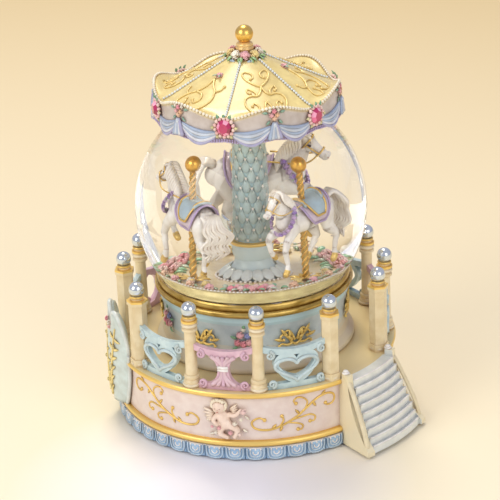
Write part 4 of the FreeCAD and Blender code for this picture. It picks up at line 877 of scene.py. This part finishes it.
# Poles and horses: gilt twisted rods with ball tops carry three white horses, all fixed to the stage.
# Each horse is one casting with gilt hooves; mane, saddle, garland and bridle are worked on it.
# Its body here is a close string of overlapping softened balls, not one blended skin.
POLE_RADIUS, POLE_TOP, POLE_BALL, BALL_LEVEL, HORSE, LIFT = 1.1, 109.4, 3.1, 111.6, 33.5, 5.0
HOOF = 0.062
POLE_GOLD, BALL_GOLD = srgb(230, 180, 84), srgb(240, 190, 88)
MEMBERS = {
    "trunk": (0.0, [(-0.37, 0.56, 0.1, 0.09), (-0.24, 0.57, 0.165, 0.148), (0.0, 0.54, 0.15, 0.148),
                    (0.2, 0.56, 0.162, 0.135), (0.31, 0.6, 0.115, 0.09)]),
    "neck": (0.0, [(0.2, 0.6, 0.14, 0.09), (0.32, 0.70, 0.115, 0.075), (0.39, 0.82, 0.085, 0.056),
                   (0.42, 0.9, 0.066, 0.048)]),
    "head": (0.0, [(0.41, 0.92, 0.062, 0.05), (0.46, 0.885, 0.07, 0.055), (0.53, 0.81, 0.05, 0.042),
                   (0.595, 0.75, 0.044, 0.036)]),
    "near_fore": (0.075, [(0.24, 0.5, 0.09, 0.065), (0.36, 0.38, 0.055, 0.045), (0.4, 0.28, 0.042, 0.036),
                          (0.36, 0.12, 0.029, 0.027), (0.38, 0.04, 0.04, 0.036), (0.4, 0.015, 0.042, 0.038)]),
    "off_fore": (-0.075, [(0.24, 0.5, 0.09, 0.065), (0.44, 0.46, 0.057, 0.045), (0.5, 0.42, 0.043, 0.036),
                          (0.46, 0.28, 0.029, 0.027), (0.41, 0.22, 0.037, 0.035), (0.39, 0.2, 0.036, 0.035)]),
    "near_hind": (0.08, [(-0.27, 0.54, 0.13, 0.08), (-0.29, 0.38, 0.078, 0.055), (-0.4, 0.26, 0.043, 0.036),
                         (-0.36, 0.12, 0.029, 0.027), (-0.36, 0.04, 0.04, 0.036), (-0.34, 0.015, 0.042, 0.038)]),
    "off_hind": (-0.08, [(-0.27, 0.54, 0.13, 0.08), (-0.22, 0.38, 0.078, 0.055), (-0.28, 0.26, 0.043, 0.036),
                         (-0.18, 0.15, 0.029, 0.027), (-0.14, 0.09, 0.04, 0.036), (-0.12, 0.07, 0.042, 0.038)]),
}
clay = Mould()
hooves = []
for offset, sections in MEMBERS.values():
    for first, second in zip(sections, sections[1:]):
        for t in np.linspace(0, 1, 16):
            x, z, deep, wide = [a + (b - a) * t for a, b in zip(first, second)]
            clay.ball((x, offset, z), (deep, wide, deep), WHITE, segments=14, rings=10)
    if offset:
        hooves.append(Vector((sections[-1][0], offset, sections[-1][1])))
for side in (-1, 1):
    ear = [(0.405, side * 0.03, 0.93), (0.395, side * 0.04, 0.97), (0.4, side * 0.045, 1.01)]
    clay.tube(ear, [0.026, 0.024, 0.006], WHITE)
    clay.ball((0.47, side * 0.03, 0.85), (0.05, 0.03, 0.045), WHITE)
    clay.ball((0.615, side * 0.018, 0.755), (0.03, 0.022, 0.03), WHITE)
coat = Mould()
points, faces = softened("horse_balls", clay, 5)
coat.add(points, faces, WHITE)
for k, p in enumerate(points):
    if min((Vector(p) - hoof).length for hoof in hooves) < HOOF:
        coat.tints[k] = (*GILT[:3], 1.0)
trim = Mould()
PALE_BLUE, HAIRS, LILAC = srgb(190, 214, 226), srgb(252, 248, 240), srgb(196, 176, 222)
GARLAND = (srgb(186, 158, 216), srgb(160, 128, 204), srgb(212, 186, 232))
for t in np.linspace(0, 1, 15):
    crest = Vector((0.43 - 0.24 * t ** 1.1 - 0.06 * math.sin(math.pi * t), 0, 0.985 - 0.31 * t))
    for side in (-1, 1):
        drops = ((0, 0, 0), (-0.035, 0.05, -0.02), (-0.03, 0.085, -0.085), (-0.055, 0.09, -0.15))
        fall = smooth_path([crest + Vector((x, side * y, z)) for x, y, z in drops], 4)
        trim.tube(fall, [0.02 + 0.008 * math.sin(j * 0.26) - 0.0012 * j for j in range(13)], HAIRS, sides=6)
for side in (-1, 0, 1):
    forelock = [(0.42, side * 0.02, 0.97), (0.48, side * 0.03, 0.95), (0.5, side * 0.04, 0.89)]
    trim.tube(smooth_path(forelock, 4), 0.014, HAIRS, sides=6)
for k in range(11):
    sway = (k - 5) * 0.011
    curl = 0.032 + 0.008 * (k % 3)
    tail = [(-0.37, sway * 0.5, 0.66), (-0.46, sway, 0.68), (-0.52 - 0.01 * (k % 3), sway * 2.2 + curl, 0.57),
            (-0.55, sway * 2.9 - curl, 0.47), (-0.52, sway * 2.9 + curl, 0.37), (-0.5, sway * 2.4 - curl, 0.28),
            (-0.46 - 0.02 * (k % 2), sway * 1.6 + curl, 0.2 + 0.02 * (k % 3))]
    trim.tube(smooth_path(tail, 4), [0.029 - 0.0008 * j for j in range(25)], HAIRS, sides=6)


def saddle_sheet(middle, half_length, half_angle, lift, tint, edge):
    rings, across = 15, 8
    points = []
    for top_side in (1, 0):
        for i in range(rings + 1):
            u = -1 + 2 * i / rings
            half = half_length * (1 - 0.62 * abs(u) ** 3)
            for j in range(across + 1):
                x = middle + half * (-1 + 2 * j / across) - 0.035 * abs(u)
                wide = 0.15 + lift + 0.016 * top_side
                deep = 0.156 + 0.1 * max(0.0, -(x + 0.08)) + 0.35 * (x + 0.06) ** 2 + lift + 0.016 * top_side
                turn = math.radians(half_angle) * u
                points.append(Vector((x, wide * math.sin(turn), 0.555 + deep * math.cos(turn))))
    faces, rim = sheet_faces(rings, across)
    trim.add(points, faces, tint)
    trim.tube([points[k] for k in rim] + [points[0]], 0.012, *edge, sides=6)


saddle_sheet(-0.07, 0.21, 112, 0.004, srgb(222, 208, 232), (LILAC, 0.0))
saddle_sheet(-0.07, 0.14, 84, 0.026, PALE_BLUE, (GILT, 1.0))
for height, x in ((0.76, -0.2), (0.735, 0.07)):
    arch = [
        (x - 0.02 * math.cos(t), 0.11 * math.sin(t), height - 0.05 + 0.06 * math.cos(t))
        for t in np.linspace(-1.5, 1.5, 11)
    ]
    trim.tube(arch, 0.024, PALE_BLUE, sides=7)
    trim.tube([(p[0], p[1], p[2] + 0.02) for p in arch], 0.011, GILT, 1.0, sides=6)
for k in range(17):
    turn = math.radians(-136 + 17 * k) + math.pi
    out = Vector((0.6, math.sin(turn), 0.5 * math.cos(turn))).normalized()
    spot = Vector((0.315 - 0.1 * math.cos(turn), 0.137 * math.sin(turn), 0.63 + 0.15 * math.cos(turn)))
    trim.rose(spot, out, 0.036, GARLAND[k % 3])
    if k % 2:
        trim.leaf(spot, Vector((0.1, math.cos(turn), -0.4)), out, 0.06, 0.028, srgb(140, 176, 140))
straps = []
for x, z, deep, wide in ((0.556, 0.787, 0.052, 0.045), (0.45, 0.89, 0.08, 0.062)):
    straps.append([
        (x + deep * math.cos(t) * 0.7, wide * math.sin(t), z + deep * math.cos(t) * 0.72)
        for t in np.linspace(0, 2 * math.pi, 17)
    ])
for side in (-1, 1):
    straps.append([(0.56, side * 0.047, 0.785), (0.5, side * 0.056, 0.84), (0.45, side * 0.062, 0.88)])
    straps.append(smooth_path([(0.56, side * 0.047, 0.785), (0.42, side * 0.1, 0.72), (0.1, side * 0.1, 0.74)]))
    trim.ball((0.478, side * 0.052, 0.872), (0.019, 0.009, 0.013), srgb(60, 44, 40), segments=8, rings=6)
    trim.ball((0.628, side * 0.03, 0.748), (0.008, 0.006, 0.008), srgb(206, 160, 150), segments=6, rings=5)
for strap in straps:
    trim.tube(strap, 0.008, GILT, 1.0, sides=5)
for k, bearing in enumerate(POLE_ANGLES, start=1):
    finish_node("pole_%d" % k, gilt_paint)
    twist = Mould()
    for start in range(3):
        strand = []
        for level in np.linspace(STAGE_TOP + 0.3, POLE_TOP, 60):
            turn = math.radians(120 * start + (level - STAGE_TOP) * 52)
            off_axis = Vector((math.cos(turn), math.sin(turn), 0)) * (POLE_RADIUS - 0.12)
            strand.append(polar(bearing, POLE_CIRCLE, level) + off_axis)
        twist.tube(strand, 0.42, POLE_GOLD, 0.9, sides=6)
    twist.ball(polar(bearing, POLE_CIRCLE, BALL_LEVEL), (POLE_BALL,) * 3, BALL_GOLD, 1.8, segments=28, rings=18)
    twist.make("pole_twist_%d" % k, ornament_paint, "carousel", "gilt")
    stand = Matrix.Rotation(math.radians(bearing), 4, "Z") @ Matrix.Translation((0, -POLE_CIRCLE, STAGE_TOP + LIFT))
    stand = stand @ Matrix.Rotation(math.pi, 4, "Z") @ Matrix.Scale(HORSE, 4)
    for label, shape, hidden in (("horse_cast_%d", coat, ("horse_%d" % k,)), ("horse_trim_%d", trim, ())):
        placed = Mould()
        placed.points = [stand @ Vector(p) for p in shape.points]
        placed.faces, placed.tints = shape.faces, shape.tints
        placed.make(label % k, ornament_paint, "carousel", "horse_resin", hidden)

# Canopy: a cast six-sided roof that sits on the globe, cream above with a pearl-grey valance draped in blue below.
# Its edge stands up in a wave between beaded ribs; beads, swags, bows and roses are cast on and painted.
TOP_RADIUS, EAVE_RADIUS, EAVE_SWELL, TOP_LEVEL, EAVE, HEM, WAVE = 6.6, 37.9, 1.5, 159.0, 143.3, 133.4, 4.7


def bulge(bearing):
    return math.sin(math.radians(3 * bearing)) ** 2


def roof(bearing, share):
    swell = bulge(bearing)
    reach = TOP_RADIUS + (EAVE_RADIUS + EAVE_SWELL * swell - TOP_RADIUS) * share
    lip = max(0.0, (share - 0.84) / 0.16)
    rise = (WAVE * swell + 0.6) * lip * lip * (3 - 2 * lip)
    return polar(bearing, reach, TOP_LEVEL + (EAVE - 0.6 - TOP_LEVEL) * share + rise)


def valance(bearing, share, out=0.0):
    swell = bulge(bearing)
    scallop = abs(math.sin(math.radians(6 * bearing)))
    low = HEM + 0.9 * (1 - scallop) + 0.4 * swell
    high = EAVE + WAVE * swell
    flare = 0.9 * share ** 2
    return polar(bearing, EAVE_RADIUS + EAVE_SWELL * swell + flare + out, high + (low - high) * share)


TURNS, ROOF_ROWS, VALANCE_ROWS = 360, 20, 8
PEARL_GREY, CANOPY_CREAM = srgb(210, 200, 194), srgb(240, 220, 150)
bands = [(CANOPY_CREAM, [roof(k, row / ROOF_ROWS) for k in range(TURNS)]) for row in range(ROOF_ROWS + 1)]
for row in range(1, VALANCE_ROWS + 1):
    bands.append((PEARL_GREY, [valance(k, row / VALANCE_ROWS) for k in range(TURNS)]))
bands.append((CANOPY_CREAM, [Vector((p.x * 0.94, p.y * 0.94, p.z)) for p in bands[-1][1]]))
for reach, height in ((33.2, 137.0), (TOP_RADIUS, 142.2)):
    bands.append((CANOPY_CREAM, [polar(k, reach, height) for k in range(TURNS)]))
canopy_mould = Mould()
canopy_mould.add([p for tint, band in bands for p in band], turned_faces(len(bands), TURNS), CANOPY_CREAM)
canopy_mould.tints = [(*tint[:3], 0.0) for tint, band in bands for p in band]
canopy_mould.make("canopy_cast", ornament_paint, "housing", "canopy_resin", ("canopy",))
cream_bead = bead("cream_bead", 0.68, srgb(252, 246, 226))
rib_bead = bead("rib_bead", 0.6, srgb(234, 246, 250))
purple_bead = bead("purple_bead", 0.5, srgb(186, 172, 214))
hexagon = [roof(a, 1.0) + Vector((0, 0, 0.3)) for a in range(0, 360, 2)]
copy_row("eave_pearls", hexagon, cream_bead, 168, "housing")
for label, height in (("hem_beads", 0.965), ("hem_beads_upper", 0.885)):
    hem = [valance(a, height, 0.15) for a in range(0, 360, 2)]
    copy_row(label, hem, purple_bead, 230, "housing")
for k in range(6):
    rib = [roof(60 * k, t) + Vector((0, 0, 0.35)) for t in np.linspace(0.06, 0.93, 20)]
    copy_row("rib_pearls_%d" % (k + 1), rib, rib_bead, 24, "housing", closed=False)
# Painted highlights and shade on the drapes: the folds are alternately pale and deeper blue, and the lowest fold is
# lilac.
FOLD_BLUES_LIT_AND_SHADED = (srgb(172, 190, 218), srgb(212, 222, 236), srgb(180, 198, 224), srgb(226, 230, 240), srgb(180, 180, 216))
APRICOT, BUFF, SAGE = srgb(248, 200, 158), srgb(248, 206, 176), srgb(150, 190, 170)
BOW_LEAVES = ((-3.4, 0.12, -3.6, -0.06), (3.4, 0.12, 3.6, -0.06), (-2.4, 0.36, -3, 0.12), (2.4, 0.36, 3, 0.12))
drapes = Mould()
for k in range(12):
    first, last = (30 * k + 3.4, 30 * k + 28.6) if k % 2 == 0 else (30 * k + 1.4, 30 * k + 26.6)
    for fold, tint in enumerate(FOLD_BLUES_LIT_AND_SHADED):
        run = []
        for t in np.linspace(0, 1, 15):
            drop = (0.1 + 0.075 * fold) * math.sin(math.pi * t)
            a = first + (last - first) * t
            run.append(valance(a, 0.52 + 0.03 * fold + drop, 0.3 + 0.1 * (fold % 2)))
        drapes.tube(run, [0.35 + 0.45 * math.sin(math.pi * j / 14) for j in range(15)], tint, sides=7)
for k in range(6):
    middle = 60 * k + 30
    facing = polar(middle, 1, 0)
    for fold in range(5):
        lean = (fold - 2) * 0.9
        ribbon = ((0.4, 0.42, 0.9), (1.0, 0.62, 1.0), (1.9, 0.93, 0.7))
        fall = [valance(middle + lean * spread, share, out) for spread, share, out in ribbon]
        drapes.tube(smooth_path(fall, 4), [0.5 + 0.06 * j for j in range(9)], FOLD_BLUES_LIT_AND_SHADED[fold], sides=7)
    drapes.ball(valance(middle, 0.5, 1.2), (0.9, 0.9, 1.1), FOLD_BLUES_LIT_AND_SHADED[1], segments=10, rings=7)
    for a, share, size, tint in (
        (-1.7, 0.2, 1.15, PINK), (1.7, 0.2, 1.15, APRICOT), (0, 0.3, 1.3, BUFF),
        (0, 0.08, 1.15, DEEP_PINK), (-2.6, 0.04, 0.8, CREAM), (2.6, 0.04, 0.8, CREAM),
    ):
        drapes.rose(valance(middle + a, share, 0.6), facing, size, tint)
    for a, share, da, ds in BOW_LEAVES:
        root = valance(middle + a, share, 0.4)
        drapes.leaf(root, valance(middle + a + da, share + ds, 0.5) - root, facing, 2.6, 1.3, SAGE)
drapes.make("valance_drapes", ornament_paint, "housing", "canopy_resin")

# Stones: faceted pink glass stones at the six corners of the valance.
# Each is glued in a cast ring of pink beads with small green leaves.
gem_paint = bpy.data.materials.new("pink_stone")
gem_paint.use_nodes = True
gem = gem_paint.node_tree
stone = gem.nodes["Principled BSDF"]
stone.inputs["Roughness"].default_value = 0.06
stone.inputs["Coat Weight"].default_value = 1.0
swirl = node(gem, "ShaderNodeTexNoise", Scale=420.0)
gem.links.new(node(gem, "ShaderNodeTexCoord").outputs["Object"], swirl.inputs["Vector"])
own = node(gem, "ShaderNodeAttribute", attribute_name="tint")
cloudy = mixed(gem, sums(gem, "MULTIPLY", swirl.outputs["Fac"], 0.12), own.outputs["Color"], srgb(255, 150, 185))
gem.links.new(cloudy, stone.inputs["Base Color"])
stones, settings = Mould(), Mould()
GEM_LEVEL, GEM_FACE, GEM_SIDES, GEM_BEADS, BEAD_CIRCLE = 140.6, 39.1, 8, 14, 3.9
# Painted glints and dark reflections: the facets are tinted one by one from pale to deep pink, and the front table is
# deep pink.
FACET_GLINTS_AND_DARKS = (srgb(255, 178, 206), srgb(186, 26, 92), srgb(238, 112, 160), srgb(142, 6, 60))
for k in range(6):
    out = polar(60 * k, 1, 0)
    side = Vector((-out.y, out.x, 0))
    seat = polar(60 * k, GEM_FACE, GEM_LEVEL)
    rings = []
    for reach, lift in ((3.4, 0.0), (3.4, 0.5), (2.1, 1.8)):
        rings.append([
            seat + out * lift + (side * math.sin(t) * 0.92 + Vector((0, 0, 1.05)) * math.cos(t)) * reach
            for t in (2 * math.pi * j / GEM_SIDES for j in range(GEM_SIDES))
        ])
    facets = [tuple(range(GEM_SIDES - 1, -1, -1)), tuple(range(2 * GEM_SIDES, 3 * GEM_SIDES))]
    for r in (0, GEM_SIDES):
        for j in range(GEM_SIDES):
            n = (j + 1) % GEM_SIDES
            facets.append((r + j, r + n, r + GEM_SIDES + n, r + GEM_SIDES + j))
    corners = [p for ring in rings for p in ring]
    for j, facet in enumerate(facets):
        tint = FACET_GLINTS_AND_DARKS[1] if j < 2 else FACET_GLINTS_AND_DARKS[(j + j // 4) % 4]
        stones.add([corners[c] for c in facet], [tuple(range(len(facet)))], tint)
    for j in range(GEM_BEADS):
        t = 2 * math.pi * j / GEM_BEADS
        spot = seat + (side * math.sin(t) + Vector((0, 0, 1)) * math.cos(t)) * BEAD_CIRCLE
        settings.knob(spot, 0.85, srgb(248, 206, 204) if j % 2 else srgb(250, 222, 214))
    for t, length in ((-0.5, 2.4), (0.5, 2.4), (0.0, 1.8), (2.5, 1.8), (-2.5, 1.8), (1.6, 1.8), (-1.6, 1.8)):
        way = side * math.sin(t) + Vector((0, 0, 1)) * math.cos(t)
        tint = srgb(130, 176, 140) if abs(t) < 1 else srgb(226, 222, 170)
        settings.leaf(seat + way * 4.0, way, out, length, 1.6, tint)
stones.make("canopy_stones", gem_paint, "housing", "gem", ("canopy_gems",), smooth=False)
settings.make("stone_settings", ornament_paint, "housing", "canopy_resin")

# Roof scrolls: raised gilt scrolls cast on the six panels of the roof, thinner towards their curled ends.
# Every other panel has a heart of scrolls, the panels between a sweeping one with a rose.
def on_roof(path, middle):
    return [roof(middle + 30 * p[0] / max(0.2, p[1]), p[1]) + Vector((0, 0, 0.25)) for p in path]


HEART = [
    [(0.0, 0.46), (0.1, 0.42), (0.2, 0.35), (0.22, 0.27), (0.15, 0.22), (0.07, 0.25), (0.07, 0.31), (0.12, 0.33)],
    [(0.0, 0.46), (0.04, 0.54), (0.13, 0.6), (0.27, 0.6), (0.41, 0.65), (0.47, 0.75), (0.39, 0.85), (0.25, 0.85),
     (0.2, 0.77), (0.27, 0.72), (0.33, 0.76)],
    [(0.13, 0.6), (0.17, 0.53), (0.27, 0.49), (0.31, 0.54), (0.26, 0.56)],
    [(0.0, 0.7), (0.06, 0.77), (0.05, 0.85), (0.0, 0.89)],
]
SWEEP = [
    [(0.0, 0.36), (0.1, 0.46), (0.26, 0.56), (0.36, 0.7), (0.26, 0.84), (0.06, 0.87), (-0.1, 0.8)],
    [(0.0, 0.36), (-0.04, 0.5), (-0.16, 0.6), (-0.34, 0.68), (-0.5, 0.82), (-0.36, 0.88), (-0.22, 0.82),
     (-0.26, 0.74)],
    [(-0.16, 0.6), (0.02, 0.62), (0.1, 0.7), (0.02, 0.77), (-0.08, 0.73)],
    [(-0.34, 0.68), (-0.44, 0.66), (-0.46, 0.6)],
    [(0.26, 0.56), (0.34, 0.52), (0.34, 0.46)],
]
scrolls = Mould()
SOFT_GILT = srgb(255, 230, 152)
for k in range(6):
    middle = 60 * k + 30
    heart = k % 2 == 0
    for line in HEART if heart else SWEEP:
        for way in (-1, 1) if heart else (1,):
            run = on_roof(smooth_path([(way * 0.88 * a, b) for a, b in line]), middle)
            scrolls.tube(run, taper(run, 0.47, 0.31), SOFT_GILT, 0.3, sides=7)
            scrolls.knob(run[-1], 0.65, SOFT_GILT, 0.3)
    if not heart:
        top = on_roof([(0.03, 0.3)], middle)[0]
        scrolls.rose(top, polar(middle, 0.5, 1), 1.6, PINK)
        for turn in (-40, 40, 180):
            scrolls.leaf(top, polar(middle + turn, 1, 0.1), (0, 0, 1), 3.0, 1.4, srgb(176, 204, 180))
scrolls.make("roof_scrolls", ornament_paint, "housing", "gilt")

# Finial: a gilt ball on a turned and ringed gilt neck, screwed into the top of the roof.
# A cast wreath of roses and leaves and a ring of blue swags are glued round its foot.
finial = Mould()
PROFILE = [
    (5.2, 157.4), (5.2, 158.4), (3.6, 159.6), (3.1, 160.9), (3.7, 161.6), (3.9, 162.2), (3.6, 162.8),
    (3.1, 163.1), (3.6, 163.7), (3.3, 164.3), (2.2, 164.9),
]
AROUND, rings = 40, len(PROFILE)
FINIAL_BALL, FINIAL_LEVEL, FINIAL_GOLD, NECK_GOLD = 3.8, 168.2, srgb(250, 206, 108), srgb(250, 212, 140)
turned = [polar(360 * j / AROUND, r, z) for r, z in PROFILE for j in range(AROUND)]
sides = [
    (r * AROUND + j, r * AROUND + (j + 1) % AROUND, (r + 1) * AROUND + (j + 1) % AROUND, (r + 1) * AROUND + j)
    for r in range(rings - 1) for j in range(AROUND)
]
sides += [tuple(range(AROUND - 1, -1, -1)), tuple(range((rings - 1) * AROUND, rings * AROUND))]
finial.add(turned, sides, NECK_GOLD, 0.6)
finial.ball((0, 0, FINIAL_LEVEL), (FINIAL_BALL,) * 3, FINIAL_GOLD, 1.7, segments=40, rings=24)
finial.make("finial_turned", ornament_paint, "housing", "gilt", ("canopy_finial",))
WREATH_ROSES, WREATH_START = 9, 14
WREATH_GREEN, SWAG_BLUE = srgb(170, 208, 150), srgb(190, 210, 224)
wreath = Mould()
for k in range(WREATH_ROSES):
    a = 360 / WREATH_ROSES * k + WREATH_START
    tint = (PINK, YELLOW, CREAM)[k % 3]
    wreath.rose(polar(a, 5.9, 160.4), polar(a, 0.9, 0.8), 2.3, tint)
    for turn, drop in ((18, -1.2), (24, 0.4)):
        root = polar(a + turn, 6.0, 159.8)
        wreath.leaf(root, polar(a + turn + 6, 9.4, 158.4 + drop) - root, (0, 0, 1), 3.8, 1.9, WREATH_GREEN)
for k in range(6):
    swag = [
        polar(60 * k + t, 7.0 + 0.9 * abs(t) / 30, 158.6 - 1.6 * (1 - (t / 30) ** 2))
        for t in np.linspace(-30, 30, 9)
    ]
    wreath.tube(swag, 0.7, SWAG_BLUE, sides=7)
wreath.make("finial_wreath", ornament_paint, "housing", "canopy_resin")

# Movement and underside: brass, steel and zinc pieces on a bedplate inside the drum, wound by a key from below.
# A moulded cover closes the drum, held by steel screws, and a felt ring is glued to it.
brass = paint("brass", srgb(214, 176, 96), srgb(196, 156, 78), rough=0.28, metal=1.0)
steel = paint("steel", srgb(180, 180, 182), srgb(160, 160, 164), rough=0.3, metal=1.0)
zinc = paint("zinc", srgb(166, 166, 168), srgb(150, 150, 152), rough=0.5, metal=0.8)
cover_plastic = paint("cover_plastic", srgb(230, 224, 212), srgb(222, 214, 200), rough=0.55)
felt = paint("felt", srgb(226, 212, 188), srgb(206, 190, 166), rough=0.95, grain=900.0, bump=0.6)
for finish, names in (
    (brass, ("winding_key", "spring_barrel", "music_cylinder", "governor_fan", "arbor_brackets")),
    (steel, ("winding_arbor", "mainspring", "drive_shaft", "cylinder_arbor", "music_comb", "governor_arbor")),
    (steel, ("cover_screws",)),
    (zinc, ("movement_bedplate", "comb_block")),
    (cover_plastic, ("bottom_cover",)),
    (felt, ("felt_ring",)),
):
    for name in names:
        finish_node(name, finish)

# Floor, light and camera: a cream floor with painted shade that darkens it to the back and a painted lilac shadow
# tint just in front of the foot.
# Two large soft lamps stand in front and a warm one hangs behind; the camera looks down at the globe.
floor_mesh = bpy.data.meshes.new("floor")
FLOOR = 6
floor_mesh.from_pydata(
    [(-FLOOR, -FLOOR, 0), (FLOOR, -FLOOR, 0), (FLOOR, FLOOR, 0), (-FLOOR, FLOOR, 0)], [], [(0, 1, 2, 3)],
)
floor = bpy.data.objects.new("floor", floor_mesh)
bpy.context.scene.collection.objects.link(floor)
floor_paint = bpy.data.materials.new("floor_paint")
floor_paint.use_nodes = True
tree = floor_paint.node_tree
split = node(tree, "ShaderNodeSeparateXYZ")
place = node(tree, "ShaderNodeTexCoord").outputs["Object"]
tree.links.new(place, split.inputs[0])
# Painted shade: the floor goes from pale cream at the front to a darker tan at the back.
shade = mixed(tree, stretched(tree, split.outputs[1], -0.2, 0.8), srgb(246, 238, 214), srgb(218, 192, 138))
# Painted shadow: a round lilac-white patch just in front of the foot, fading out by 85 mm from its middle, stands in
# for the cool shadow there.
shadow_tint_distance = node(tree, "ShaderNodeVectorMath", operation="DISTANCE")
tree.links.new(place, shadow_tint_distance.inputs[0])
shadow_tint_distance.inputs[1].default_value = (0.0, -0.085, 0.0)
shade = mixed(tree, stretched(tree, shadow_tint_distance.outputs["Value"], 0.02, 0.085), srgb(246, 244, 250), shade)
tree.links.new(shade, tree.nodes["Principled BSDF"].inputs["Base Color"])
tree.nodes["Principled BSDF"].inputs["Roughness"].default_value = 0.8
floor_mesh.materials.append(floor_paint)
world = bpy.data.worlds.new("studio")
bpy.context.scene.world = world
world.use_nodes = True
sky = world.node_tree.nodes["Background"]
sky.inputs["Color"].default_value = srgb(222, 226, 250)
sky.inputs["Strength"].default_value = 0.56
for label, spot, size, power, tint in (
    ("key_lamp", (-0.8, -0.95, 0.85), 0.8, 8.6, (1.0, 0.95, 0.84)),
    ("fill_lamp", (1.0, -0.9, 0.7), 0.9, 6.2, (1.0, 0.95, 0.84)),
    ("back_lamp", (-0.3, 0.6, 1.45), 0.5, 13.6, (1.0, 0.91, 0.73)),
):
    data = bpy.data.lights.new(label, "AREA")
    data.size = size
    data.energy = power
    data.color = tint
    lamp = bpy.data.objects.new(label, data)
    lamp.location = spot
    lamp.rotation_euler = (Vector((0, 0, 0.08)) - Vector(spot)).to_track_quat("-Z", "Y").to_euler()
    bpy.context.scene.collection.objects.link(lamp)
AZIMUTH, RISE, ROLL, DISTANCE = math.radians(14.3), math.radians(21.78), math.radians(2.29), 0.9
GLOBE_CENTRE, FOCUS_PX = Vector((0, 0, 0.09146)), 2090.9
GLOBE_PX, PICTURE_PX = (250.96, 204.72), 500
eye = GLOBE_CENTRE + DISTANCE * Vector((
    math.cos(RISE) * math.sin(AZIMUTH), -math.cos(RISE) * math.cos(AZIMUTH), math.sin(RISE),
))
ahead = (GLOBE_CENTRE - eye).normalized()
level = ahead.cross(Vector((0, 0, 1))).normalized()
upright = level.cross(ahead)
shift_x, shift_y = PICTURE_PX / 2 - GLOBE_PX[0], PICTURE_PX / 2 - GLOBE_PX[1]
across = (shift_x * math.cos(ROLL) - shift_y * math.sin(ROLL)) / FOCUS_PX
down = (shift_x * math.sin(ROLL) + shift_y * math.cos(ROLL)) / FOCUS_PX
aim = (ahead + level * across - upright * down).normalized()
top = upright * math.cos(ROLL) + level * math.sin(ROLL)
right = aim.cross(top).normalized()
top = right.cross(aim)
lens = bpy.data.cameras.new("camera")
lens.sensor_width = 36.0
lens.lens = FOCUS_PX / PICTURE_PX * lens.sensor_width
lens.clip_start = 0.01
camera = bpy.data.objects.new("camera", lens)
camera.matrix_world = Matrix.Translation(eye) @ Matrix((right, top, -aim)).transposed().to_4x4()
bpy.context.scene.collection.objects.link(camera)
bpy.context.scene.camera = camera
bpy.context.scene.view_settings.view_transform = "Standard"
